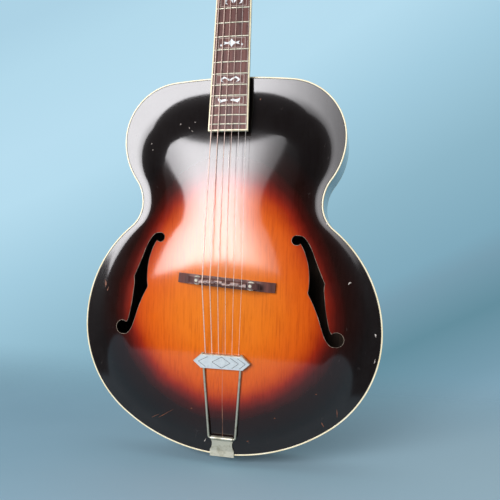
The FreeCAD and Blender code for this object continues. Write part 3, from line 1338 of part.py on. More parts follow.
end_pin = turned("end_pin", [
    ("0", "-sizes.end_pin_shank_length"), ("sizes.end_pin_radius * 0.75", "-sizes.end_pin_shank_length"),
    ("sizes.end_pin_radius", "-sizes.end_pin_shank_length * 0.7"), ("sizes.end_pin_radius", "0"),
    ("sizes.end_pin_radius * 1.5", "0"), ("sizes.end_pin_radius * 1.15", "sizes.end_pin_neck_length * 0.6"),
    ("sizes.end_pin_radius * 1.3", "sizes.end_pin_neck_length"),
    ("sizes.end_pin_head_radius * 0.94", "sizes.end_pin_neck_length"),
    ("sizes.end_pin_head_radius", "sizes.end_pin_neck_length + sizes.end_pin_head_height * 0.2"),
    ("sizes.end_pin_head_radius", "sizes.end_pin_neck_length + sizes.end_pin_head_height * 0.7"),
    ("sizes.end_pin_head_radius * 0.8", "sizes.end_pin_neck_length + sizes.end_pin_head_height * 0.92"),
    ("sizes.end_pin_head_radius * 0.4", "sizes.end_pin_neck_length + sizes.end_pin_head_height"),
    ("0", "sizes.end_pin_neck_length + sizes.end_pin_head_height")])
node(end_pin, "end_pin", body_frame.multiply(shift(0, pin_depth, -bracket_low, Vector(1, 0, 0), 180)))

# Trapeze: one bent wire whose cross piece turns in the knuckle, and the bar that holds the strings
foot_half, head_half = size("trapeze_foot_half_width"), size("trapeze_head_half_width")
bend_radius = size("trapeze_bend_radius")
bar_up, bar_half_height = size("crossbar_up"), size("crossbar_height") / 2
bar_high = bar_up + bar_half_height
leg_top = bar_high + size("leg_stand_out")
leg = Vector(head_half - foot_half, 0, bar_high)
leg_turn = math.atan2(leg.z, leg.x)
tangent = bend_radius * math.tan(leg_turn / 2)
leg_end = Vector(foot_half, 0, 0).add(leg.multiply(leg_top / bar_high))
leg.normalize()
bends = []
for side in (1, -1):
    corner = Vector(side * foot_half, 0, 0)
    flat_end = corner.sub(Vector(side * tangent, 0, 0))
    leg_start = corner.add(Vector(side * leg.x * tangent, 0, leg.z * tangent))
    middle = flat_end.add(Vector(0, 0, bend_radius))
    outward = corner.sub(middle)
    outward.normalize()
    bends.append((flat_end, middle.add(outward.multiply(bend_radius)), leg_start,
                  Vector(side * leg_end.x, 0, leg_end.z)))
path = []
for flat_end, through, leg_start, top in bends:
    path += [Part.LineSegment(top, leg_start).toShape(), Part.Arc(leg_start, through, flat_end).toShape()]
path.append(Part.LineSegment(bends[0][0], bends[1][0]).toShape())
path = Part.Wire(Part.__sortEdges__(path))
start = path.OrderedVertexes[0].Point
heading = bends[0][2].sub(bends[0][3]) if start.x > 0 else bends[1][2].sub(bends[1][3])
ring = Part.Wire([Part.Circle(start, heading, wire_radius).toShape()])
wire = path.makePipeShell([ring], True, False)
shaped("tailpiece_rod", wire, trapeze_frame)

half_length, half_flat, half_bar = size("crossbar_half_length"), size("crossbar_half_flat"), size("crossbar_thickness") / 2
pearl_thickness = size("pearl_thickness")


def hexagon_prism(inset, start, depth):
    """The crossbar's long hexagon, moved in all round."""
    tip, flat, high = half_length - 1.2 * inset, half_flat - 0.6 * inset, bar_half_height - inset
    corners = [(tip, 0), (flat, high), (-flat, high), (-tip, 0), (-flat, -high), (flat, -high)]
    return prism([Vector(x, start, bar_up + z) for x, z in corners], Vector(0, depth, 0))


pocket_half_length = size("string_spread_tail") / 2 + size("ball_length")
pocket_half_height = size("ball_pocket_height") / 2
ball_space = block(-pocket_half_length, pocket_half_length, -size("ball_radius") - clearance, 2 * half_bar,
                   bar_up - pocket_half_height, bar_up + pocket_half_height)
string_ways, ball_frames = [], []
for radius, _, _, _, _, _, tail_x, ball_up in string_points:
    string_ways.append(rod(Vector(tail_x, 0, bar_up), Vector(tail_x, 0, bar_up + 2 * bar_half_height),
                           radius + 2 * clearance))
    ball_frames.append(trapeze_frame.multiply(shift(tail_x, 0, ball_up, Vector(0, 1, 0), 90)))
leg_seats = [rod(leg_start, top, wire_radius) for _, _, leg_start, top in bends]
crossbar = hexagon_prism(0, -half_bar, 2 * half_bar).cut([ball_space, *string_ways]).cut(leg_seats)
shaped("crossbar", crossbar, trapeze_frame)

# The pearl face of the crossbar, cut with a lozenge and chevrons, as shares of its half sizes
ENGRAVING_SHARES = (((-0.42, 0.86), (-0.6, 0.0), (-0.42, -0.86)),
                    ((0.0, 0.86), (0.19, 0.0), (0.0, -0.86), (-0.19, 0.0), (0.0, 0.86)),
                    ((0.34, 0.86), (0.52, 0.0), (0.34, -0.86)), ((0.48, 0.86), (0.66, 0.0), (0.48, -0.86)))
pearl_front = -half_bar - pearl_thickness
grooves = []
for line in ENGRAVING_SHARES:
    for (x_start, z_start), (x_end, z_end) in zip(line, line[1:]):
        first = Vector(x_start * half_length, pearl_front, bar_up + z_start * bar_half_height)
        last = Vector(x_end * half_length, pearl_front, bar_up + z_end * bar_half_height)
        way = last.sub(first)
        half_cut = size("engraving_width") / 2
        cut = block(-half_cut, way.Length + half_cut, -overrun, size("engraving_depth"), -half_cut,
                    half_cut)
        lean = -math.degrees(math.atan2(way.z, way.x))
        grooves.append(placed(cut, Placement(first, Rotation(Vector(0, 1, 0), lean))))
face = hexagon_prism(half_cut * 2, pearl_front, pearl_thickness)
shaped("crossbar_cover", face.cut(grooves), trapeze_frame)

ball = turned("ball", [
    ("sizes.ball_radius * 0.42", "-sizes.ball_length / 2"), ("sizes.ball_radius", "-sizes.ball_length / 2"),
    ("sizes.ball_radius", "-sizes.ball_length / 4"), ("sizes.ball_radius * 0.8", "0"),
    ("sizes.ball_radius", "sizes.ball_length / 4"), ("sizes.ball_radius", "sizes.ball_length / 2"),
    ("sizes.ball_radius * 0.42", "sizes.ball_length / 2")])
copies("ball_ends", ball, ball_frames)

screw = turned("screw", [
    ("0", "-sizes.screw_length"), ("sizes.screw_shank_radius", "-sizes.screw_length * 0.75"),
    ("sizes.screw_shank_radius", "0"), ("sizes.screw_head_radius", "0"),
    ("sizes.screw_head_radius * 0.85", "sizes.screw_head_height * 0.6"),
    ("sizes.screw_head_radius * 0.45", "sizes.screw_head_height"), ("0", "sizes.screw_head_height")])
screw_frames = [head_frame.multiply(place) for place in head_screws]
screw_frames += [body_frame.multiply(place) for place in tail_screws]
copies("wood_screws", screw, screw_frames)

# Every sub-part is checked, then written
document.recompute()
for thing in document.Objects:
    if "Invalid" in thing.State or "Error" in thing.State:
        raise RuntimeError("%s did not recompute" % thing.Label)
os.makedirs("parts", exist_ok=True)
for thing in nodes:
    if thing.Shape.isNull() or not thing.Shape.isValid():
        raise RuntimeError("%s has no valid shape" % thing.Label)
    thing.Shape.exportStep("parts/%s.step" % thing.Label)
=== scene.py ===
"""Archtop guitar with a sunburst top, dressed over its CAD frame. Metres; the front faces -y, the head points
to +z."""
import json
import math

import bpy
import numpy as np
from mathutils import Matrix, Vector


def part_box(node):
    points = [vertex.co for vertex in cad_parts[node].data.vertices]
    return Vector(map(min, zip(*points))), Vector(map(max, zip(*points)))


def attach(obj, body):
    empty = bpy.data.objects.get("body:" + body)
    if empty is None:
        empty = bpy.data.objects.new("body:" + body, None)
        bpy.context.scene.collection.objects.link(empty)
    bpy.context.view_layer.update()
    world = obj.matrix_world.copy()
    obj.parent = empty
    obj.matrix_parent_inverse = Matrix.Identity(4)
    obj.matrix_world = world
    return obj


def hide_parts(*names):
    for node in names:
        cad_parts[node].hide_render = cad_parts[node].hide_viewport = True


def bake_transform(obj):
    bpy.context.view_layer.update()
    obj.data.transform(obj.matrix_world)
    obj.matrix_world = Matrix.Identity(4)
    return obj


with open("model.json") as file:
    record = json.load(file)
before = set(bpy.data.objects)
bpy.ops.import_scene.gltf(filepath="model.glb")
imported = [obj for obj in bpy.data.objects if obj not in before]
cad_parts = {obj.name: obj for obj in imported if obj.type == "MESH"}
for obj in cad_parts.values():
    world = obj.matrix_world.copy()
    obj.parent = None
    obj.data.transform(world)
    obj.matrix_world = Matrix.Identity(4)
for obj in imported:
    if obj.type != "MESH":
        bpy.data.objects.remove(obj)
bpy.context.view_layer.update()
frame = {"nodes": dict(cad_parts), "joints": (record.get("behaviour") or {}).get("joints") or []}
nodes = frame["nodes"]

# Camera: at the photograph's place and angle, with its axes as the matrix's columns.
# The lens is found from the frets' spacing, and the sensor is shifted as the photograph is cropped.
camera_data = bpy.data.cameras.new("camera")
camera_data.lens = 46.373
camera_data.sensor_width = 36
camera_data.shift_x = 0.1133
camera_data.shift_y = -0.0545
camera = bpy.data.objects.new("camera", camera_data)
bpy.context.scene.collection.objects.link(camera)
camera.matrix_world = Matrix((
    (0.96539006, -0.01814403, 0.26017844, 0.182593),
    (0.25882524, -0.05619711, -0.96428802, -0.888174),
    (0.03211735, 0.99825482, -0.04955599, -0.607923),
    (0, 0, 0, 1)))
bpy.context.scene.camera = camera
bpy.context.scene.view_settings.view_transform = "Standard"


# Floor: a sheet of matt paper under the guitar, one flat face.
# It carries the shadow and fades out behind the guitar, where the backdrop takes over.
def colour(code):
    """A colour written as sRGB hex, as the linear colour that shaders use."""
    parts = [int(code[place:place + 2], 16) / 255 for place in (1, 3, 5)]
    return (*[part / 12.92 if part <= 0.04045 else ((part + 0.055) / 1.055) ** 2.4 for part in parts], 1.0)


def feed(item, *given, **named):
    """Give a node's inputs, in order or by name with _ for a space, as values or as outputs to link."""
    free = [socket for socket in item.inputs if socket.enabled]
    wanted = [(item.inputs[name.replace("_", " ")], value) for name, value in named.items()]
    for socket, value in [*zip(free, given), *wanted]:
        if isinstance(value, bpy.types.NodeSocket):
            socket.id_data.links.new(value, socket)
        else:
            socket.default_value = value


def add(tree, kind, *given, out=0, stops=(), **settings):
    """Add a shader node and return one of its outputs. Settings in small letters are properties, the rest are
    inputs; stops are a colour ramp's places and hex colours."""
    item = tree.nodes.new("ShaderNode" + kind)
    for name in [name for name in settings if name.islower()]:
        setattr(item, name, settings.pop(name))
    feed(item, *given, **settings)
    if stops:
        elements = item.color_ramp.elements
        while len(elements) < len(stops):
            elements.new(0.5)
        for element, (place, code) in zip(elements, stops):
            element.position = place
            element.color = colour(code)
    if isinstance(out, str):
        return item.outputs[out]
    return [socket for socket in item.outputs if socket.enabled][out]


def cells(tree, per_metre, detail=3.0, roughness=0.55, distortion=0.0):
    """Cloudy noise that is fixed to the piece, with a number of cells per metre along x, y and z."""
    place = add(tree, "Mapping", add(tree, "TexCoord", out="Object"), Scale=per_metre)
    return add(tree, "TexNoise", place, Scale=1.0, Detail=detail, Roughness=roughness, Distortion=distortion)


def material(name, **sockets):
    """A new Principled material, whose constants go straight onto the shader's sockets."""
    made = bpy.data.materials.new(name)
    made.use_nodes = True
    shader = made.node_tree.nodes["Principled BSDF"]
    feed(shader, **sockets)
    return made, made.node_tree, shader


def piece(name, points, faces, made, uv=None, caps=(), sharp=40.0):
    """A mesh object from an array of points and faces, smooth except where it bends by more than sharp
    degrees."""
    mesh = bpy.data.meshes.new(name)
    mesh.from_pydata(points.reshape(-1, 3), [], [*faces.tolist(), *caps])
    if uv is not None:
        loops = np.empty(len(mesh.loops), np.int32)
        mesh.loops.foreach_get("vertex_index", loops)
        wanted = uv.reshape(-1, 2)[loops].astype(np.float32)
        mesh.uv_layers.new(name="metres").uv.foreach_set("vector", wanted.ravel())
    mesh.materials.append(made)
    mesh.shade_smooth()
    mesh.set_sharp_from_angle(angle=math.radians(sharp))
    thing = bpy.data.objects.new(name, mesh)
    bpy.context.scene.collection.objects.link(thing)
    return thing


floor_drop, floor_front, floor_behind, floor_half = 0.002, -0.56, 3.0, 4.0
floor_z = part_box("end_pin")[0].z - floor_drop
floor_points = np.array([(x, y, floor_z) for y in (floor_front, floor_behind) for x in (-floor_half,
                                                                                        floor_half)])

# Matt paper: no gloss, made paler on the treble side by painted light that lifts the guitar's shadow there,
# and see-through from just behind the guitar to 0.9 m back
paper, tree, shader = material("matt_floor_paper", Roughness=0.85)
place = add(tree, "SeparateXYZ", add(tree, "TexCoord", out="Object")).node
sheet = add(tree, "ValToRGB", cells(tree, (3, 3, 3)), stops=((0.3, "#92BBCF"), (0.7, "#98C1D5")))
# Painted light: the paper is mixed towards a paler blue on the treble side, where the guitar's shadow falls
painted_light_to_treble = add(tree, "MapRange", place.outputs["X"], -0.5, 0.6, interpolation_type="SMOOTHSTEP")
feed(shader, Base_Color=add(tree, "Mix", painted_light_to_treble, sheet, colour("#C4E4F2"), data_type="RGBA"),
     Alpha=add(tree, "MapRange", place.outputs["Y"], 0.0, 0.9, 1.0, 0.0, interpolation_type="SMOOTHSTEP"))
piece("floor", floor_points, np.array([[0, 1, 3, 2]]), paper)

# Room: a backdrop seen by the camera, with painted light and shade: pale at the upper left, deeper towards
# the lower right, darkest in a band low on the right and paler again below it.
# Gloss mirrors that backdrop from behind the guitar and a dim room from in front; the rest gets an even light.
world = bpy.data.worlds.new("room")
bpy.context.scene.world = world
world.use_nodes = True
tree = world.node_tree
path = add(tree, "LightPath").node
way = add(tree, "SeparateXYZ", add(tree, "TexCoord", out="Generated")).node
from_left = add(tree, "Math", way.outputs["X"], -0.62, operation="MULTIPLY")
from_below = add(tree, "Math", way.outputs["Z"], 1.105, operation="MULTIPLY")
slant = add(tree, "Math", add(tree, "Math", from_left, from_below, operation="ADD"), 0.34, operation="ADD")
# Painted light and shade on the backdrop: a ramp from pale at the upper left to a dark band low on the right
backdrop_painted_light = add(tree, "ValToRGB", slant, stops=(
    (0.04, "#82A5B8"), (0.08, "#779CAE"), (0.17, "#648E9E"), (0.25, "#799EB0"), (0.29, "#80AABD"),
    (0.44, "#8FB8CA"),
    (0.6, "#A4CDE0"), (0.73, "#B7DDEF"), (0.81, "#B9DEF0"), (0.93, "#B4DAEC"), (1.0, "#ADD3E6")))
behind = add(tree, "MapRange", way.outputs["Y"], -0.15, 0.25, interpolation_type="SMOOTHSTEP")
mirrored = add(tree, "Mix", behind, (0.012, 0.014, 0.016, 1.0), backdrop_painted_light, data_type="RGBA")
shiny = add(tree, "Math", path.outputs["Is Glossy Ray"], path.outputs["Is Transmission Ray"],
            operation="MAXIMUM")
unseen = add(tree, "Mix", shiny, (0.30, 0.32, 0.33, 1.0), mirrored, data_type="RGBA")
feed(tree.nodes["Background"], Strength=1.0,
     Color=add(tree, "Mix", path.outputs["Is Camera Ray"], unseen, backdrop_painted_light, data_type="RGBA"))

# Soft box: one wide lamp on the bass side, whose mirror image is the pale sheen on the lacquer.
# It is brightest left of its middle and fades towards its right edge.
lamp_data = bpy.data.lights.new("soft_box", "AREA")
lamp_data.shape = "RECTANGLE"
lamp_data.size, lamp_data.size_y, lamp_data.energy = 1.63, 1.06, 77.0
lamp_data.color = (0.985, 0.97, 1.0)
lamp_data.use_nodes = True
tree = lamp_data.node_tree
across = add(tree, "SeparateXYZ", add(tree, "NewGeometry", out="Parametric"), out="X")
rising = add(tree, "MapRange", across, 0.0, 0.3, 0.75, 1.3, interpolation_type="SMOOTHSTEP")
falling = add(tree, "MapRange", across, 0.62, 1.0, 1.0, 0.14, interpolation_type="SMOOTHSTEP")
feed(tree.nodes["Emission"], Strength=add(tree, "Math", rising, falling, operation="MULTIPLY"))
lamp = bpy.data.objects.new("soft_box", lamp_data)
bpy.context.scene.collection.objects.link(lamp)
lamp.location = (-0.665, -2.35, -0.10)
lamp.rotation_euler = (math.pi / 2, 0, 0)

# Ribs: two strips of maple, bent round a mould and glued to the head block and the tail block.
# Spruce linings inside give the plates an edge to be glued to. The frame's solids keep their shape.
rim_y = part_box("binding_top")[0].y
top_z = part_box("binding_top")[1].z
body_length = top_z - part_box("binding_top")[0].z
rim_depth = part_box("binding_back")[1].y - rim_y


def dress(made, *names):
    """Give CAD nodes a material."""
    for name in names:
        for slot in nodes[name].material_slots:
            slot.material = made


def scuffs(tree, per_metre, amount):
    """Thin random scratches and dents, as a mask from 0 to 1: cell edges, kept only in patches."""
    place = add(tree, "Mapping", add(tree, "TexCoord", out="Object"),
                Scale=(per_metre, per_metre, per_metre * 0.25))
    edges = add(tree, "TexVoronoi", place, Scale=1.0, Randomness=1.0, feature="DISTANCE_TO_EDGE")
    patch = cells(tree, (per_metre * 0.6,) * 3, 4.0)
    thin = add(tree, "MapRange", edges, 0.02, 0.0, interpolation_type="SMOOTHSTEP")
    here = add(tree, "MapRange", patch, amount, amount + 0.06, interpolation_type="SMOOTHSTEP")
    return add(tree, "Math", thin, here, operation="MULTIPLY")


def lacquered(name, stops, grain_per_metre, fine_per_metre, share_of):
    """Wood under gloss lacquer: a mirror-like coat over grain, with worn specks, a centre seam and a waviness.
    The sunburst's colours follow the share that share_of gives."""
    made, tree, shader = material(name, Roughness=0.32, IOR=1.5, Coat_Weight=1.0, Coat_IOR=1.5,
                                  Coat_Roughness=0.085,
                                  Specular_IOR_Level=0.05)
    drift = add(tree, "MapRange", cells(tree, (14, 14, 14)), 0.2, 0.8, -0.015, 0.015,
                interpolation_type="SMOOTHSTEP")
    burst = add(tree, "ValToRGB", add(tree, "Math", share_of(tree), drift, operation="ADD"), stops=stops)
    grain = cells(tree, grain_per_metre, 2.0, 0.6)
    fine = cells(tree, fine_per_metre, 3.0, 0.7)
    streaks = add(tree, "Math", add(tree, "MapRange", grain, 0.3, 0.7, interpolation_type="SMOOTHSTEP"),
                  add(tree, "MapRange", fine, 0.3, 0.7, interpolation_type="SMOOTHSTEP"), operation="MULTIPLY")
    darker = add(tree, "Mix", 1.0, burst, (0.55, 0.38, 0.25, 1), data_type="RGBA", blend_type="MULTIPLY")
    tone = add(tree, "Mix", add(tree, "Math", streaks, 0.5, operation="MULTIPLY"), burst, darker,
               data_type="RGBA")
    wear = scuffs(tree, 160, 0.66)
    tone = add(tree, "Mix", add(tree, "Math", wear, 0.18, operation="MULTIPLY"), tone, colour("#8F8580"),
               data_type="RGBA")
    beside = add(tree, "Math", add(tree, "SeparateXYZ", add(tree, "TexCoord", out="Object"), out="X"),
                 operation="ABSOLUTE")
    seam = add(tree, "Math", add(tree, "MapRange", beside, 0.0007, 0.0003, interpolation_type="SMOOTHSTEP"),
               add(tree, "MapRange", fine, 0.35, 0.6, 0.1, 0.5, interpolation_type="SMOOTHSTEP"),
               operation="MULTIPLY")
    haze = cells(tree, (35, 35, 35), 5.0, 0.7)
    feed(shader, Base_Color=add(tree, "Mix", seam, tone, colour("#A0745C"), data_type="RGBA"),
         Roughness=add(tree, "MapRange", haze, 0.3, 0.8, 0.28, 0.45, interpolation_type="SMOOTHSTEP"),
         Normal=add(tree, "Bump", Height=add(tree, "Math", grain, wear, operation="SUBTRACT"), Distance=0.00006,
                    Strength=0.35),
         Coat_Normal=add(tree, "Bump", Height=cells(tree, (30, 30, 12), 2.0), Distance=0.0002, Strength=0.25))
    return made


def share_of_rib(tree):
    """Share of the way from a rib's middle line, 0, to its front or back edge, 1."""
    depth = add(tree, "SeparateXYZ", add(tree, "TexCoord", out="Object"), out="Y")
    away = add(tree, "Math", add(tree, "Math", depth, rim_y + rim_depth / 2, operation="SUBTRACT"),
               operation="ABSOLUTE")
    return add(tree, "MapRange", away, 0.0, rim_depth / 2, interpolation_type="SMOOTHSTEP")


# Lacquered maple: flames of 4 to 17 mm across the rib, brown along its middle and nearly black at both edges
maple_rib = lacquered("sunburst_maple_rib",
                      ((0.0, "#5A2C18"), (0.3, "#472113"), (0.65, "#23120E"), (0.9, "#131112")),
                      (60, 60, 240), (300, 300, 40), share_of_rib)
dress(maple_rib, "rib_bass", "rib_treble")

# Bare spruce: unfinished wood that has browned with age, dull, with fine lines of 2 mm along its length
bare_spruce, tree, shader = material("bare_spruce", Roughness=0.7)
grain = cells(tree, (500, 500, 8))
feed(shader, Base_Color=add(tree, "ValToRGB", grain, stops=((0.3, "#3A2A1D"), (0.7, "#513C2A"))),
     Normal=add(tree, "Bump", Height=grain, Distance=0.0001, Strength=0.4))
dress(bare_spruce, "head_block", "tail_block", "linings", "tone_bars")


# Back: a maple plate carved to an arch, glued on the ribs' back edges; dark at its edge and brown in its
# middle. Back and top share the body's outline, a chain of tangent arcs, and one carved swell that runs out to
# a flat edge.
def tangent_arcs(half, low, waist_half, waist_low, upper_half, upper_low, tail_r, lower_r, upper_r, shoulder_r):
    """Half outline from tail to top, as arcs of centre across, centre up, radius, start, end and side.
    Each end arc and each hollow waist arc has the radius that meets its side arc."""
    cx, rise = half - tail_r, body_length - low
    end_r = (cx * cx + rise * rise - tail_r * tail_r) / (2 * (rise - tail_r))
    turn = math.atan2(body_length - low - end_r, cx)
    arcs = [(0, end_r - body_length, end_r, -math.pi / 2, turn, 1), (cx, -low, tail_r, turn, 0, 1)]
    for side_half, side_low, side_r, way_down in ((half, low, lower_r, 1),
                                                  (upper_half, upper_low, upper_r, -1)):
        cx, rise = side_half - side_r, side_low - waist_low
        reach = waist_half - cx
        hollow_r = (reach * reach + rise * rise - side_r * side_r) / (2 * (side_r - reach))
        turn = math.atan2(rise, waist_half + hollow_r - cx)
        swell = (cx, -side_low, side_r, 0, turn, 1)
        hollow = (waist_half + hollow_r, -waist_low, hollow_r, math.pi + turn, math.pi, -1)
        pair = [swell, hollow]
        if way_down < 0:
            pair = [(*arc[:3], arc[4], arc[3], arc[5]) for arc in (hollow, swell)]
        arcs += pair
    cx = upper_half - shoulder_r
    end_r = (cx * cx + upper_low * upper_low - shoulder_r * shoulder_r) / (2 * (upper_low - shoulder_r))
    turn = math.atan2(end_r - upper_low, cx)
    return arcs + [(cx, -upper_low, shoulder_r, 0, turn, 1), (0, -end_r, end_r, turn, math.pi / 2, 1)]


def outline(arcs, count):
    """Points (x, z) all round the body, from the tail up the treble side and back down, with outward normals."""
    spans = np.array([abs(end - start) * radius for _, _, radius, start, end, _ in arcs])
    points, normals = [], []
    for (cx, cz, radius, start, end, side), span in zip(arcs, spans):
        steps = max(4, round(count / 2 * span / spans.sum()))
        angle = start + (end - start) * np.arange(steps) / steps
        direction = np.stack([np.cos(angle), np.sin(angle)], 1)
        points.append(np.array([cx, cz]) + radius * direction)
        normals.append(direction * side)
    points, normals = np.concatenate(points), np.concatenate(normals)
    top_point, top_normal = np.array([[0.0, 0.0]]), np.array([[0.0, 1.0]])
    mirror = np.array([-1.0, 1.0])
    points = np.concatenate([points, top_point, points[:0:-1] * mirror])
    normals = np.concatenate([normals, top_normal, normals[:0:-1] * mirror])
    return points, normals


edge_points, edge_normals = outline(tangent_arcs(
    half=0.205, low=0.344, waist_half=0.1265, waist_low=0.176, upper_half=0.1555, upper_low=0.086,
    tail_r=0.154, lower_r=0.176, upper_r=0.098, shoulder_r=0.082), 1440)
arch_centre = np.array([0.0, -0.262])
plate_inset, plate_thickness, back_rise = 0.0028, 0.0042, 0.017


def reach_of(inset, angle):
    """Distance from the arch centre to the outline moved in by inset, at angles measured from straight up."""
    way = edge_points - edge_normals * inset - arch_centre
    turns = np.arctan2(way[:, 0], way[:, 1])
    order = np.argsort(turns)
    return np.interp(angle, turns[order], np.hypot(way[:, 0], way[:, 1])[order], period=2 * math.pi)


def arch_height(x, z, rise, long_share=0.965, wide_share=0.955, fade_share=0.27):
    """Height of the arch: (1 - v ** 2.4) * (1 - u ** 2), faded into a flat edge as (u ** 4 + v ** 4) ** 0.25
    nears 1. v is the way up or down from the arch's centre, and u the way out, as shares of most of the way to
    the edge."""
    right = edge_points[:, 0] >= 0
    order = np.argsort(edge_points[right, 1])
    half_width = np.interp(z, edge_points[right, 1][order], edge_points[right, 0][order])
    far = np.where(z > arch_centre[1], -arch_centre[1], body_length + arch_centre[1])
    v = np.abs(z - arch_centre[1]) / (far * long_share)
    u = np.abs(x) / np.maximum(half_width * wide_share, 1e-6)
    fade = np.clip((1 - (u ** 4 + v ** 4) ** 0.25) / fade_share, 0, 1)
    return rise * np.clip(1 - v ** 2.4, 0, 1) * np.clip(1 - u * u, 0, 1) * fade * fade * (3 - 2 * fade)


def arch_normals(x, z, rise, step=0.0004):
    """Unit normals of the arch that face forwards (-y), from the slope of its height."""
    slope_x = (arch_height(x + step, z, rise) - arch_height(x - step, z, rise)) / (2 * step)
    slope_z = (arch_height(x, z + step, rise) - arch_height(x, z - step, rise)) / (2 * step)
    normals = np.stack([-slope_x, -np.ones_like(slope_x), -slope_z], 1)
    return normals / np.linalg.norm(normals, axis=1)[:, None]


def burst_share(x, z, middle_down=0.31, series=(0.143, 0.0108, 0.01, 0.008, 0.0038)):
    """How far a point lies from the burst's middle, as a share of the burst's own egg-shaped boundary. The
    boundary's radius is the sum of each part of the series times the cosine of its place times the
    direction."""
    turn = np.arctan2(x, z + middle_down)
    return np.hypot(x, z + middle_down) / sum(part * np.cos(order * turn) for order, part in enumerate(series))


def share_of_plate(tree):
    """The burst attribute of a carved plate, from its pale middle to its dark edge."""
    return add(tree, "Attribute", attribute_name="burst", out="Fac")


def quads(rows, columns, wrap_rows=False):
    """Faces of a grid of points, row by row."""
    down = np.arange(rows if wrap_rows else rows - 1)[:, None]
    across = np.arange(columns)[None, :]
    below, beside = (down + 1) % rows, (across + 1) % columns
    corners = [down * columns + across, down * columns + beside, below * columns + beside,
               below * columns + across]
    return np.stack([np.broadcast_to(corner, (down.size, across.size)) for corner in corners], -1).reshape(-1,
                                                                                                           4)


def end_caps(rows, columns):
    """Faces that close the first and the last row of a grid."""
    last = (rows - 1) * columns
    return [list(range(columns))[::-1], list(range(last, last + columns))]


def put(thing, body, slot, *replaced):
    """A piece rides on a body and stands for CAD nodes, which are hidden. slot is not used."""
    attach(thing, body)
    if replaced:
        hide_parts(*replaced)
    return thing


def plate(name, rise, outside, inside, made, rings=64, sectors=720):
    """A closed carved plate; rise is positive towards the front. Its grid is rings by directions from the
    arch's centre: out over the outer face in even shares of the reach, then back over the inner face."""
    angle = 2 * math.pi * np.arange(sectors) / sectors
    reach = reach_of(plate_inset, angle)
    share = np.linspace(0.01, 1, rings)[:, None]
    x, z = reach * share * np.sin(angle), arch_centre[1] + reach * share * np.cos(angle)
    height = arch_height(x.ravel(), z.ravel(), rise).reshape(x.shape)
    outer = np.stack([x, outside - height, z + top_z], -1)
    inner = np.stack([x, inside - height, z + top_z], -1)[::-1]
    faces, caps = quads(2 * rings, sectors), end_caps(2 * rings, sectors)
    if inside < outside:
        faces, caps = faces[:, ::-1], [cap[::-1] for cap in caps]
    return piece(name, np.concatenate([outer, inner]), faces, made, caps=caps)


def finish_plate(thing, rise, made_inside, flat_from=0.85, burst_reach=1.6):
    """Normals of both faces from the arch itself, bare wood on what faces inwards, and the burst's share per
    point. The share is divided by burst_reach, so that it stays below 1 at the plate's far corners."""
    mesh = thing.data
    places = np.empty(len(mesh.vertices) * 3)
    mesh.vertices.foreach_get("co", places)
    places = places.reshape(-1, 3)
    x, z = places[:, 0], places[:, 2] - top_z
    face_normals = np.empty(len(mesh.polygons) * 3, np.float32)
    mesh.polygon_normals.foreach_get("vector", face_normals)
    face_normals = face_normals.reshape(-1, 3)
    totals = np.empty(len(mesh.polygons), np.int32)
    mesh.polygons.foreach_get("loop_total", totals)
    of_face = np.repeat(np.arange(len(totals)), totals)
    corner = np.empty(len(mesh.loops), np.int32)
    mesh.loops.foreach_get("vertex_index", corner)
    of_arch = arch_normals(x, z, rise)[corner]
    along = np.einsum("ij,ij->i", of_arch, face_normals[of_face])
    edge_on = np.abs(along) < flat_from
    mesh.normals_split_custom_set(
        np.where(edge_on[:, None], face_normals[of_face], of_arch * np.sign(along)[:, None]))
    outward = -face_normals[:, 1] * np.sign(rise)
    mesh.materials.append(made_inside)
    mesh.polygons.foreach_set("material_index", np.where(outward < 0.5, 1, 0).astype(np.int32))
    share = mesh.attributes.new("burst", "FLOAT", "POINT")
    share.data.foreach_set("value", (burst_share(x, z) / burst_reach).astype(np.float32))


# Lacquered maple again: the same flames, from warm brown in the middle to nearly black at the edge
maple_back = lacquered("sunburst_maple",
                       ((0.0, "#9A5A2C"), (0.4, "#83431F"), (0.6, "#5B2716"), (0.8, "#2A1413"),
                                          (0.97, "#141214")), (60, 60, 240), (300, 300, 40), share_of_plate)
back = plate("carved_back", -back_rise, rim_y + rim_depth, rim_y + rim_depth - plate_thickness, maple_back)
finish_plate(back, -back_rise, bare_spruce)
put(back, "guitar", "maple_sunburst", "back_plate")

# Top: two book-matched halves of spruce, carved to an arch and glued on the ribs' front edges.
# Each side has an f-shaped sound hole, sawn through: two round eyes joined by a stem with a notch on each edge.
top_rise, saw_reach = 0.018, 0.05


def catmull(marks, steps=8):
    """Points along a smooth curve through marks: each span is the cubic whose slope at a mark is half the way
    between the marks beside it."""
    marks = np.array(marks, float)
    ends = np.concatenate([[2 * marks[0] - marks[1]], marks, [2 * marks[-1] - marks[-2]]])
    t = (np.arange(steps) / steps)[:, None]
    parts = [0.5 * (2 * b + (c - a) * t + (2 * a - 5 * b + 4 * c - d) * t ** 2 + (3 * b - a - 3 * c + d) * t ** 3)
             for a, b, c, d in zip(ends, ends[1:], ends[2:], ends[3:])]
    return np.concatenate([*parts, marks[-1:]])


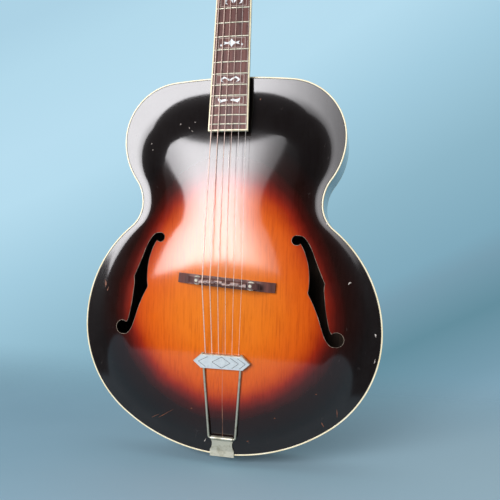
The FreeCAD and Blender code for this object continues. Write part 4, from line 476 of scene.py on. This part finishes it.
def sound_hole_line(side):
    """The hole's edge, from the upper eye down the outer edge and back up the inner one. Marks are given in eye
    radii from an eye or a notch."""
    upper, lower = np.array([0.094, -0.2244]), np.array([0.1472, -0.3516])
    upper_r, lower_r = 0.0067, 0.0097
    outer_notch, inner_notch = np.array([0.1314, -0.2798]), np.array([0.1095, -0.2929])

    def marks(centre, radius, shares):
        return [centre + radius * np.array(share) for share in shares]

    def eye(centre, radius, start, end):
        angle = np.radians(np.linspace(start, end, 28)[1:-1])
        return centre + radius * np.stack([np.cos(angle), np.sin(angle)], 1)

    upper_outer = catmull([*marks(upper, upper_r,
                                  ((0.0, 1.0), (1.25, 0.75), (2.3, -0.5), (3.15, -2.2), (3.85, -4.1))),
                           *marks(outer_notch, upper_r, ((-0.54, 1.22), (0, 0)))])
    lower_outer = catmull([*marks(outer_notch, upper_r, ((0, 0), (-0.13, -1.34))),
                           *marks(lower, lower_r, ((-1.6, 5.3), (-1.45, 3.9), (-1.2, 2.5), (-0.93, 1.3),
                                                   (-0.62, 0.75)))])
    lower_inner = catmull([*marks(lower, lower_r, ((0.0, -1.0), (-0.78, -0.86), (-1.5, 0.05), (-2.02, 1.5),
                                                   (-2.5, 3.0), (-3.15, 4.6))), inner_notch])
    upper_inner = catmull([inner_notch, *marks(inner_notch, upper_r, ((0.22, 1.19), (0.24, 3.28), (0.03, 5.3))),
                           *marks(upper, upper_r, ((1.9, -3.2), (1.3, -1.65), (0.72, -0.6)))])
    line = np.concatenate([upper_outer[:-1], lower_outer, eye(lower, lower_r, 129.6, -90), lower_inner[:-1],
                           upper_inner, eye(upper, upper_r, -40, -270)])
    return line * np.array([side, 1.0])


# Lacquered spruce: straight growth rings 1.6 mm apart, and a burst from orange through red to nearly black
spruce_top = lacquered("sunburst_spruce", (
    (0.0, "#DC781A"), (0.30, "#D66A14"), (0.42, "#CF5C0E"), (0.50, "#C8520A"), (0.55, "#B44008"),
    (0.594, "#8E230A"),
    (0.625, "#6B180C"), (0.663, "#42100B"), (0.72, "#210E0B"), (0.84, "#141010")),
    (620, 620, 9), (240, 240, 30), share_of_plate)
top = plate("carved_top", top_rise, rim_y, rim_y + plate_thickness, spruce_top)
for side in (1, -1):
    line = sound_hole_line(side)[::side]
    before = np.column_stack([line[:, 0], np.full(len(line), rim_y - saw_reach), line[:, 1] + top_z])
    after = before + np.array([0, 2 * saw_reach, 0])
    cutter = piece("cutter", np.concatenate([before, after]), quads(2, len(line)), bare_spruce,
                   caps=end_caps(2, len(line)))
    cut = top.modifiers.new("cut", "BOOLEAN")
    cut.operation, cut.solver, cut.object = "DIFFERENCE", "EXACT", cutter
    bpy.context.view_layer.update()
    cut_mesh = bpy.data.meshes.new_from_object(top.evaluated_get(bpy.context.evaluated_depsgraph_get()))
    top.modifiers.clear()
    top.data = cut_mesh
    bpy.data.objects.remove(cutter)
finish_plate(top, top_rise, bare_spruce)
put(top, "guitar", "spruce_sunburst", "top_plate")


# Sound hole lips: the corner round each hole, rubbed through to pale wood.
# Each is a thin bead that follows the hole's edge on the arch.
def tube(name, points, radius, made, sides=10):
    """A round wire along points: a ring of sides at each point, turned as little as it can be from one to the
    next."""
    points = np.array(points, float)
    ways = np.gradient(points, axis=0)
    ways /= np.linalg.norm(ways, axis=1)[:, None]
    guide = np.array([1.0, 0.0, 0.0]) if abs(ways[0, 0]) < 0.9 else np.array([0.0, 1.0, 0.0])
    angle = 2 * math.pi * np.arange(sides) / sides
    rings = []
    for point, way in zip(points, ways):
        guide = guide - way * (guide @ way)
        guide /= np.linalg.norm(guide)
        across = np.cross(way, guide)
        rings.append(point + radius * (np.outer(np.cos(angle), guide) + np.outer(np.sin(angle), across)))
    length = np.concatenate([[0], np.cumsum(np.linalg.norm(np.diff(points, axis=0), axis=1))])
    uv = np.stack(np.broadcast_arrays(length[:, None], np.arange(sides)[None, :] / sides), -1)
    return piece(name, np.stack(rings), quads(len(points), sides), made, uv=uv,
                 caps=end_caps(len(points), sides))


def merged(name, things):
    """Join pieces into one object."""
    with bpy.context.temp_override(active_object=things[0], selected_editable_objects=things):
        bpy.ops.object.join()
    things[0].name = name
    return things[0]


# Worn spruce: dull end grain, grey where dirt has settled in it
worn_edge, tree, shader = material("worn_spruce_edge", Roughness=0.6)
grain = cells(tree, (300, 300, 60), 3.0)
feed(shader, Base_Color=add(tree, "ValToRGB", grain, stops=((0.35, "#4A3A30"), (0.65, "#9C8A78"))),
     Normal=add(tree, "Bump", Height=grain, Distance=0.0001, Strength=0.4))
lip_radius, lip_sink = 0.00028, 0.00015
lips = []
for side in (1, -1):
    line = sound_hole_line(side)[::2]
    line = np.concatenate([line, line[:1]])
    front = rim_y - arch_height(line[:, 0], line[:, 1], top_rise) + lip_sink
    lip = np.column_stack([line[:, 0], front, line[:, 1] + top_z])
    lips.append(tube("lip", lip, lip_radius, worn_edge, sides=6))
put(merged("sound_hole_lips", lips), "guitar", "spruce_sunburst")

# Lacquer chips: small bare places at the marks of use, where the lacquer has come off or is scratched.
# Each is a ragged patch laid on the arch.
chip_corners, chip_lift, chip_seed_step = 14, 0.00006, 1.7


def chip(x, z, length, width, turn, seed):
    """Points of a patch: radius 1 + 0.3 sin(3a + seed) + 0.2 sin(5a + 2 seed) of an ellipse turned by turn
    degrees."""
    angle = 2 * math.pi * np.arange(chip_corners) / chip_corners
    ragged = 1 + 0.3 * np.sin(3 * angle + seed) + 0.2 * np.sin(5 * angle + 2 * seed)
    along, across = ragged * np.cos(angle) * length / 2, ragged * np.sin(angle) * width / 2
    cos, sin = math.cos(math.radians(turn)), math.sin(math.radians(turn))
    px, pz = x + along * cos - across * sin, z + along * sin + across * cos
    return np.column_stack([px, rim_y - arch_height(px, pz, top_rise) - chip_lift, pz + top_z])


# Bare wood in a chip: pale and dull, with fine grain
pale_chip, tree, shader = material("bare_spruce_chip", Roughness=0.6)
grain = cells(tree, (900, 900, 200), 3.0)
feed(shader, Base_Color=add(tree, "ValToRGB", grain, stops=((0.3, "#8A7F78"), (0.7, "#D8CFC6"))),
     Normal=add(tree, "Bump", Height=grain, Distance=0.0001, Strength=0.4))

# Scratched lacquer: the stain under it shows as a brown line
brown_chip, tree, shader = material("scratched_lacquer", Roughness=0.5)
grain = cells(tree, (900, 900, 200), 3.0)
feed(shader, Base_Color=add(tree, "ValToRGB", grain, stops=((0.3, "#4A2614"), (0.7, "#8A4A22"))),
     Normal=add(tree, "Bump", Height=grain, Distance=0.0001, Strength=0.4))

# Each chip: across, down from the top edge, length, width, turn in degrees, what shows
chips = (
    (-0.1775, -0.2924, 0.009, 0.0025, 95, brown_chip), (-0.1735, -0.300, 0.006, 0.0012, 70, brown_chip),
    (0.1623, -0.2778, 0.0045, 0.0016, 40, pale_chip), (0.1960, -0.3432, 0.0042, 0.0016, 100, pale_chip),
    (0.1954, -0.3764, 0.0050, 0.0008, 80, pale_chip), (0.1321, -0.2003, 0.0050, 0.0016, 70, pale_chip),
    (0.1317, -0.4619, 0.0060, 0.0009, 120, brown_chip), (0.1497, -0.4454, 0.0090, 0.0007, 95, brown_chip),
    (-0.0820, -0.4680, 0.0230, 0.0006, 32, brown_chip), (-0.0960, -0.4720, 0.0120, 0.0005, 28, brown_chip),
    (-0.0719, -0.0654, 0.0022, 0.0009, 50, pale_chip), (-0.0586, -0.0714, 0.0026, 0.0008, 110, pale_chip),
    (-0.0506, -0.0633, 0.0016, 0.0010, 20, pale_chip), (-0.0540, -0.0760, 0.0030, 0.0005, 140, pale_chip),
    (-0.1146, -0.0918, 0.0022, 0.0010, 80, pale_chip), (-0.1125, -0.1010, 0.0016, 0.0008, 30, pale_chip),
    (0.0391, -0.0325, 0.0026, 0.0010, 60, brown_chip), (-0.0429, -0.4558, 0.0022, 0.0018, 0, brown_chip),
    (0.0344, -0.4934, 0.0026, 0.0012, 20, brown_chip), (-0.0240, -0.4980, 0.0042, 0.0008, 60, pale_chip),
    (0.1230, -0.4230, 0.0020, 0.0014, 0, brown_chip), (0.0700, -0.4590, 0.0022, 0.0012, 30, brown_chip))
patches = [piece("chip", chip(x, z, length, width, turn, number * chip_seed_step), np.empty((0, 4), int), made,
                 caps=[list(range(chip_corners))[::-1]])
           for number, (x, z, length, width, turn, made) in enumerate(chips)]
put(merged("lacquer_chips", patches), "guitar", "spruce_sunburst")


# Bindings: celluloid strips let into the edges of top and back all round, scraped flush, with softened corners.
# A dark line of celluloid runs inside the front one.
def rounded(corners, radius, steps=5):
    """A closed profile with each corner turned by a small curve: (1-t)^2 start + 2t(1-t) corner + t^2 end."""
    corners = np.array(corners, float)
    points = []
    for before, corner, after in zip(np.roll(corners, 1, 0), corners, np.roll(corners, -1, 0)):
        into, out = corner - before, after - corner
        start = corner - into / np.linalg.norm(into) * radius
        end = corner + out / np.linalg.norm(out) * radius
        t = np.linspace(0, 1, steps)[:, None]
        points.append((1 - t) ** 2 * start + 2 * t * (1 - t) * corner + t ** 2 * end)
    return np.concatenate(points)


def swept_round(name, profile, made):
    """A strip round the body: each point of the profile is a distance in from the outline and a depth behind
    the rim."""
    points = np.stack([np.column_stack([
        edge_points[:, 0] - edge_normals[:, 0] * inset, np.full(len(edge_points), rim_y + depth),
        edge_points[:, 1] - edge_normals[:, 1] * inset + top_z]) for inset, depth in profile])
    return piece(name, points, quads(*points.shape[:2], wrap_rows=True), made, sharp=60)


# Cream celluloid: a smooth, slightly glossy plastic that has yellowed unevenly, with grime in small specks
cream, tree, shader = material("aged_cream_celluloid", Roughness=0.35, Coat_Weight=0.4, Coat_Roughness=0.15,
                               Subsurface_Weight=0.05)
mottle = cells(tree, (45, 45, 45), 4.0, 0.6)
grime = cells(tree, (260, 260, 260), 4.0, 0.7)
tone = add(tree, "ValToRGB", mottle, stops=((0.25, "#DCC79A"), (0.5, "#EADBB4"), (0.75, "#F3E8C9")))
specks = add(tree, "MapRange", grime, 0.62, 0.8, 0.0, 0.6, interpolation_type="SMOOTHSTEP")
feed(shader, Base_Color=add(tree, "Mix", specks, tone, colour("#8F7A55"), data_type="RGBA"),
     Roughness=add(tree, "MapRange", mottle, 0.3, 0.7, 0.25, 0.5, interpolation_type="SMOOTHSTEP"),
     Normal=add(tree, "Bump", Height=grime, Distance=0.00005, Strength=0.4))

# Black celluloid: the same plastic in black, only faintly mottled
black_line, tree, shader = material("black_celluloid", Roughness=0.35)
haze = cells(tree, (90, 90, 90), 3.0)
feed(shader, Base_Color=add(tree, "ValToRGB", haze, stops=((0.3, "#100F10"), (0.7, "#262223"))),
     Roughness=add(tree, "MapRange", haze, 0.3, 0.7, 0.3, 0.5, interpolation_type="SMOOTHSTEP"))

strip_gap, strip_width, strip_depth, strip_corner = 0.00005, 0.0020, 0.0065, 0.0006
for name, start, end, node in (("front_binding", 0.0, strip_depth, "binding_top"),
                               ("back_binding", rim_depth, rim_depth - strip_depth, "binding_back")):
    corners = [(strip_gap, start), (strip_width, start), (strip_width, end), (strip_gap, end)]
    put(swept_round(name, rounded(corners, strip_corner), cream), "guitar", "cream_celluloid", node)
dress(black_line, "purfling_lines")


# Neck: one piece of mahogany with heel and head, dovetailed into the head block. A steel truss rod lies under
# the board, its nut reached under a small cover, and the head's face has a black veneer.
def metal(name, bright, dull, low, high, per_metre, tarnish, metallic=1.0):
    """Plated or bare metal: its shine is broken by patches of tarnish and by scratches twenty times finer."""
    made, tree, shader = material(name, Metallic=metallic, Roughness=low)
    patch = cells(tree, (per_metre,) * 3, 5.0, 0.65)
    scratch = cells(tree, (per_metre * 20, per_metre * 20, per_metre * 2), 2.0, 0.6)
    mask = add(tree, "MapRange", patch, tarnish, tarnish + 0.2, interpolation_type="SMOOTHSTEP")
    patchy = add(tree, "MapRange", patch, 0.3, 0.7, low, high, interpolation_type="SMOOTHSTEP")
    brushed = add(tree, "MapRange", scratch, 0.3, 0.7, 0.0, 0.08, interpolation_type="SMOOTHSTEP")
    feed(shader, Base_Color=add(tree, "Mix", mask, colour(bright), colour(dull), data_type="RGBA"),
         Roughness=add(tree, "Math", patchy, brushed, operation="ADD"),
         Normal=add(tree, "Bump", Height=add(tree, "Math", patch, scratch, operation="ADD"), Distance=0.00004,
                    Strength=0.3))
    return made


# Lacquered mahogany: dark red-brown under a gloss coat, with open pores 2.4 mm apart
mahogany, tree, shader = material("lacquered_mahogany", Roughness=0.35, Coat_Weight=0.9, Coat_Roughness=0.1)
pores = cells(tree, (420, 420, 22), 4.0, 0.7)
open_pores = add(tree, "MapRange", pores, 0.52, 0.7, interpolation_type="SMOOTHSTEP")
tone = add(tree, "ValToRGB", cells(tree, (22, 22, 6), 3.0), stops=((0.3, "#2B1410"), (0.7, "#3F1E15")))
feed(shader, Base_Color=add(tree, "Mix", open_pores, tone, colour("#120A09"), data_type="RGBA"),
     Normal=add(tree, "Bump", Height=pores, Distance=0.00008, Strength=0.3))

# Black veneer: dyed wood under thick gloss, nearly even
black_veneer, tree, shader = material("black_veneer", Roughness=0.3, Coat_Weight=1.0, Coat_Roughness=0.06)
haze = cells(tree, (60, 60, 20), 4.0)
feed(shader, Base_Color=add(tree, "ValToRGB", haze, stops=((0.3, "#0E0D0E"), (0.7, "#191617"))),
     Roughness=add(tree, "MapRange", haze, 0.3, 0.8, 0.25, 0.5, interpolation_type="SMOOTHSTEP"))

# Plain steel: rolled and unplated, greyed in patches
steel = metal("plain_steel", "#A9A9AA", "#6F6A66", 0.3, 0.5, 260, 0.5)
dress(mahogany, "neck")
dress(cream, "heel_cap")
dress(black_veneer, "headstock_overlay")
dress(black_line, "truss_rod_cover")
dress(steel, "truss_rod", "truss_rod_nut", "wood_screws")

# Fingerboard: a rosewood board glued on the neck, bound in celluloid, with nickel frets pressed into its slots.
# Pearl inlays stand in thin frames between frets, and dots mark the same frets on the board's side.

# Rosewood: dry and open-pored, dark purple-brown with lighter streaks along the grain
rosewood, tree, shader = material("rosewood", Roughness=0.5, Specular_IOR_Level=0.4)
pores = cells(tree, (700, 700, 40), 4.0, 0.75)
open_pores = add(tree, "MapRange", pores, 0.55, 0.75, interpolation_type="SMOOTHSTEP")
tone = add(tree, "ValToRGB", cells(tree, (130, 130, 5), 3.0, 0.6, 0.4),
           stops=((0.25, "#3C211E"), (0.5, "#5A322C"), (0.62, "#6E4139"), (0.8, "#4A2824")))
feed(shader, Base_Color=add(tree, "Mix", open_pores, tone, colour("#1E1110"), data_type="RGBA"),
     Roughness=add(tree, "MapRange", pores, 0.3, 0.7, 0.35, 0.6, interpolation_type="SMOOTHSTEP"),
     Normal=add(tree, "Bump", Height=pores, Distance=0.0001, Strength=0.5))

# Pearl celluloid: pale flakes in a clear plastic, which give a cloudy, slightly cool white
pearl, tree, shader = material("pearl_celluloid", Roughness=0.25, Coat_Weight=0.6, Coat_Roughness=0.08,
                               Specular_IOR_Level=0.6)
flow = cells(tree, (150, 150, 150), 5.0, 0.6, 1.6)
flakes = add(tree, "MapRange", cells(tree, (420, 420, 420), 3.0, 0.6, 0.8), 0.5, 0.75, 0.0, 0.5,
             interpolation_type="SMOOTHSTEP")
tone = add(tree, "ValToRGB", flow,
           stops=((0.28, "#CDD5D8"), (0.45, "#D8DEE0"), (0.6, "#E4E8E8"), (0.75, "#DCE1E2")))
feed(shader, Base_Color=add(tree, "Mix", flakes, tone, colour("#E9E9E2"), data_type="RGBA"),
     Roughness=add(tree, "MapRange", flow, 0.3, 0.7, 0.18, 0.4, interpolation_type="SMOOTHSTEP"))

# Frame lines of the inlays: the same plastic, browned with dirt
dull_pearl, tree, shader = material("dull_pearl_line", Roughness=0.4)
flow = cells(tree, (300, 300, 300), 3.0)
feed(shader, Base_Color=add(tree, "ValToRGB", flow, stops=((0.3, "#7E6B66"), (0.7, "#A8978C"))),
     Roughness=add(tree, "MapRange", flow, 0.3, 0.7, 0.3, 0.5, interpolation_type="SMOOTHSTEP"))

# Nickel plate: a soft, slightly yellow shine, dulled in patches of about 8 mm
nickel = metal("aged_nickel_plate", "#BDBAA8", "#9C9986", 0.34, 0.5, 120, 0.48, 0.75)
dress(rosewood, "fingerboard")
dress(cream, "fingerboard_binding")
dress(pearl, "fret_inlays")
dress(dull_pearl, "inlay_frames")
dress(black_line, "side_dots")
dress(nickel, "frets")

# Nut and tuners: the strings leave over a bone nut. Each post runs in a bushing and is turned by a worm on a
# key's shaft, held by a nickel-plated brass plate that is screwed to the head.

# Bone: cream, with faint veins along it, polished by hand
bone, tree, shader = material("polished_bone", Roughness=0.4, Subsurface_Weight=0.08)
veins = cells(tree, (900, 900, 160), 3.0)
feed(shader, Base_Color=add(tree, "ValToRGB", veins, stops=((0.3, "#D2C6A6"), (0.7, "#E9E0C6"))),
     Normal=add(tree, "Bump", Height=veins, Distance=0.00004, Strength=0.3))
dress(bone, "nut")
dress(nickel, "tuner_plate_bass", "tuner_plate_treble", "tuner_bushings")
for number in range(1, 7):
    dress(nickel, "tuner_key_%d" % number, "string_post_%d" % number)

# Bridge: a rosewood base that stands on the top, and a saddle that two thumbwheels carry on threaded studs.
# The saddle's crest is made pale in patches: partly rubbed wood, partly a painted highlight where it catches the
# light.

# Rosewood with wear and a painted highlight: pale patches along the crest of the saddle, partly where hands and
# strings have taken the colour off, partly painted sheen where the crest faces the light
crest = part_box("bridge_saddle")[0].y
pale_crest_to, pale_crest_from = 0.0045, 0.001
rosewood_wear_and_painted_sheen, tree, shader = material("rosewood_wear_and_painted_sheen", Roughness=0.5, Specular_IOR_Level=0.5)
pores = cells(tree, (500, 500, 60), 4.0, 0.75)
patch = add(tree, "MapRange", cells(tree, (130, 130, 300), 3.0, 0.6), 0.42, 0.58,
            interpolation_type="SMOOTHSTEP")
depth = add(tree, "SeparateXYZ", add(tree, "TexCoord", out="Object"), out="Y")
near_crest = add(tree, "MapRange", depth, crest + pale_crest_to, crest + pale_crest_from, interpolation_type="SMOOTHSTEP")
# Wear and painted highlight: near the front crest, noise patches are mixed towards pale #B59C94
patchy = add(tree, "Math", near_crest, patch, operation="MULTIPLY")
feed(shader, Base_Color=add(tree, "Mix", add(tree, "Math", patchy, 0.75, operation="MULTIPLY"),
                            add(tree, "ValToRGB", pores, stops=((0.35, "#2E1A18"), (0.6, "#5B3734"))),
                            colour("#B59C94"), data_type="RGBA"),
     Normal=add(tree, "Bump", Height=pores, Distance=0.0001, Strength=0.5))

# Worn nickel: the plate has dulled to grey on the small turned parts
worn_nickel = metal("worn_nickel_plate", "#9A978A", "#6F6C60", 0.4, 0.55, 120, 0.48, 0.75)
dress(rosewood, "bridge_base")
dress(rosewood_wear_and_painted_sheen, "bridge_saddle")
dress(worn_nickel, "thumbwheel_bass", "thumbwheel_treble", "bridge_posts")

# Tailpiece: a bent wire hinged in a bracket at the tail, and a crossbar that holds the strings' ball ends.
# The crossbar's pearl face has fine dark lines cut into it: a chevron, a diamond and two chevrons.
line_half_width, line_lift = 0.0003, 0.00005
# Each engraved line, through points in shares of the cover's half length and half height
engraved = (((-0.52, 0.78), (-0.84, 0.0), (-0.60, -0.78)),
            ((-0.06, 0.86), (-0.38, 0.0), (-0.06, -0.86), (0.22, 0.0), (-0.06, 0.86)),
            ((0.22, 0.80), (0.50, 0.0), (0.28, -0.80)),
            ((0.46, 0.80), (0.72, 0.0), (0.52, -0.80)))


def cover_frame():
    """Middle of the cover's front, its long, short and forward directions and its half sizes, from its own
    corners."""
    corners = np.array([vertex.co for vertex in nodes["crossbar_cover"].data.vertices])
    left, right = corners[np.argmin(corners[:, 0])], corners[np.argmax(corners[:, 0])]
    long_way = (right - left) / np.linalg.norm(right - left)
    offset = corners - corners.mean(0)
    _, _, ways = np.linalg.svd(offset)
    forward = ways[2] * -np.sign(ways[2][1])
    short_way = np.cross(long_way, forward)
    short_way *= math.copysign(1, short_way[2])
    return (corners.mean(0) + forward * (offset @ forward).max(), long_way, short_way, forward,
            np.abs(offset @ long_way).max(), np.abs(offset @ short_way).max())


# Aged pearl celluloid: greyer and duller than the inlays
grey_pearl, tree, shader = material("aged_pearl_celluloid", Roughness=0.35, Coat_Weight=0.4,
                                    Coat_Roughness=0.12)
flow = cells(tree, (150, 150, 150), 5.0, 0.6, 1.6)
feed(shader, Base_Color=add(tree, "ValToRGB", flow,
                            stops=((0.3, "#AEB6B9"), (0.5, "#B9C0C2"), (0.7, "#C3C8C8"))),
     Roughness=add(tree, "MapRange", flow, 0.3, 0.7, 0.28, 0.45, interpolation_type="SMOOTHSTEP"))

# Engraved line: a cut filled with grey dirt, rough
engraved_line, tree, shader = material("engraved_line", Roughness=0.6)
grime = cells(tree, (700, 700, 700), 3.0)
feed(shader, Base_Color=add(tree, "ValToRGB", grime, stops=((0.3, "#35363A"), (0.7, "#5C5D5C"))),
     Roughness=add(tree, "MapRange", grime, 0.3, 0.7, 0.4, 0.7, interpolation_type="SMOOTHSTEP"))

# Plain brass: turned ball ends, dulled brown in patches
brass = metal("plain_brass", "#C9A254", "#8A6A34", 0.25, 0.45, 220, 0.5)
dress(nickel, "tail_bracket", "tailpiece_rod", "crossbar")
dress(grey_pearl, "crossbar_cover")
dress(brass, "ball_ends")
dress(black_line, "end_pin")

middle, long_way, short_way, forward, half_long, half_short = cover_frame()
cuts = []
for shares in engraved:
    marks = [middle + long_way * half_long * u + short_way * half_short * v + forward * line_lift for u,
             v in shares]
    for first, second in zip(marks, marks[1:]):
        beside = np.cross((second - first) / np.linalg.norm(second - first), forward) * line_half_width
        corners = np.array([first - beside, second - beside, second + beside, first + beside])
        cuts.append(piece("line", corners, np.array([[0, 1, 2, 3]]), engraved_line))
put(merged("crossbar_engraving", cuts), "tailpiece", "pearl")


# Strings: two of plain steel and four wound, from the nut over the saddle to the crossbar and their ball ends.
# Straight round wires stand at the frame's own string ends.
def wire_ends(node, low, high):
    """Middles and radii of a node's six wires, treble to bass, from their points between two heights."""
    points = np.array([vertex.co for vertex in nodes[node].data.vertices])
    points = points[(points[:, 2] > low) & (points[:, 2] < high)]
    points = points[np.argsort(-points[:, 0])]
    gaps = np.sort(np.argsort(np.diff(points[:, 0]))[:5]) + 1
    groups = np.split(points, gaps)
    return [((group.min(0) + group.max(0)) / 2,
             (group[:, 0].max() - group[:, 0].min()) / 2) for group in groups]


# String wire: plain steel is bright and even, and the bronze winding is warmer; both are a little dulled by
# hands
plain_wire = metal("plain_string_steel", "#E6DDD6", "#BDB0A6", 0.3, 0.45, 400, 0.5, 0.4)
wound_wire = metal("wound_string_bronze", "#E9CDBE", "#C0A294", 0.35, 0.5, 400, 0.5, 0.4)
dress(plain_wire, "strings_head")

plain_count, far_up, far_down = 2, 1.0, -1.0
mid_scale, near_bridge, near_bar, behind_bar = 0.3, 0.03, 0.0012, 0.004
bar_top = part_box("crossbar")[1].z
bridge_z = (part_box("strings_speaking")[0].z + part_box("strings_behind_bridge")[1].z) / 2
nut_ends = wire_ends("strings_speaking", bridge_z + mid_scale, far_up)
saddle_ends = wire_ends("strings_speaking", far_down, bridge_z + mid_scale)
rear_ends = wire_ends("strings_behind_bridge", bridge_z - near_bridge, far_up)
bar_ends = wire_ends("strings_behind_bridge", bar_top - near_bar, bar_top + near_bar)
ball_ends = wire_ends("strings_behind_bridge", far_down, bar_top - behind_bar)
speaking, resting = [], []
for number in range(6):
    (nut_point, radius), (saddle_point, _) = nut_ends[number], saddle_ends[number]
    (rear_point, _), (bar_point, _), (ball_point, _) = rear_ends[number], bar_ends[number], ball_ends[number]
    made = plain_wire if number < plain_count else wound_wire
    speaking.append(tube("string", [nut_point, saddle_point], radius, made))
    resting.append(tube("string", [rear_point, bar_point, ball_point], radius, made))
over_board, behind_bridge = merged("strings_over_board", speaking), merged("strings_to_tailpiece", resting)
for thing, replaced in ((over_board, "strings_speaking"), (behind_bridge, "strings_behind_bridge")):
    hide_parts(replaced)

# String coils: each string wound three times round its post's waist, from where it arrives on the post's inner
# side. A helix: centre + (waist + wire radius) * (cos a inward + sin a onward) + axis * pitch * turns from the
# middle.
post_waist, coil_turns, coil_steps, pitch_in_radii = 0.00305, 3, 36, 2.05
for number in range(1, 7):
    joint = next(item for item in frame["joints"] if item["name"] == "string_post_%d_turn" % number)
    axis, radius = np.array(joint["axis"]), nut_ends[number - 1][1]
    low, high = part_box("string_coil_%d" % number)
    centre = np.array((low + high) / 2)
    inward = np.array([-math.copysign(1, centre[0]), 0.0, 0.0])
    onward = np.cross(axis, inward)
    onward *= math.copysign(1, onward[2])
    turn = np.linspace(0, coil_turns, coil_turns * coil_steps + 1)[:, None]
    angle = 2 * math.pi * turn
    helix = (centre + (post_waist + radius) * (np.cos(angle) * inward + np.sin(angle) * onward)
             + axis * (turn - coil_turns / 2) * pitch_in_radii * radius)
    made = plain_wire if number <= plain_count else wound_wire
    dress(made, "string_coil_%d" % number)
    coil = tube("string_turns_%d" % number, helix, radius, made)
    put(coil, "post_%d" % number, "string_wire", "string_coil_%d" % number)
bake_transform(over_board)
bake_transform(behind_bridge)
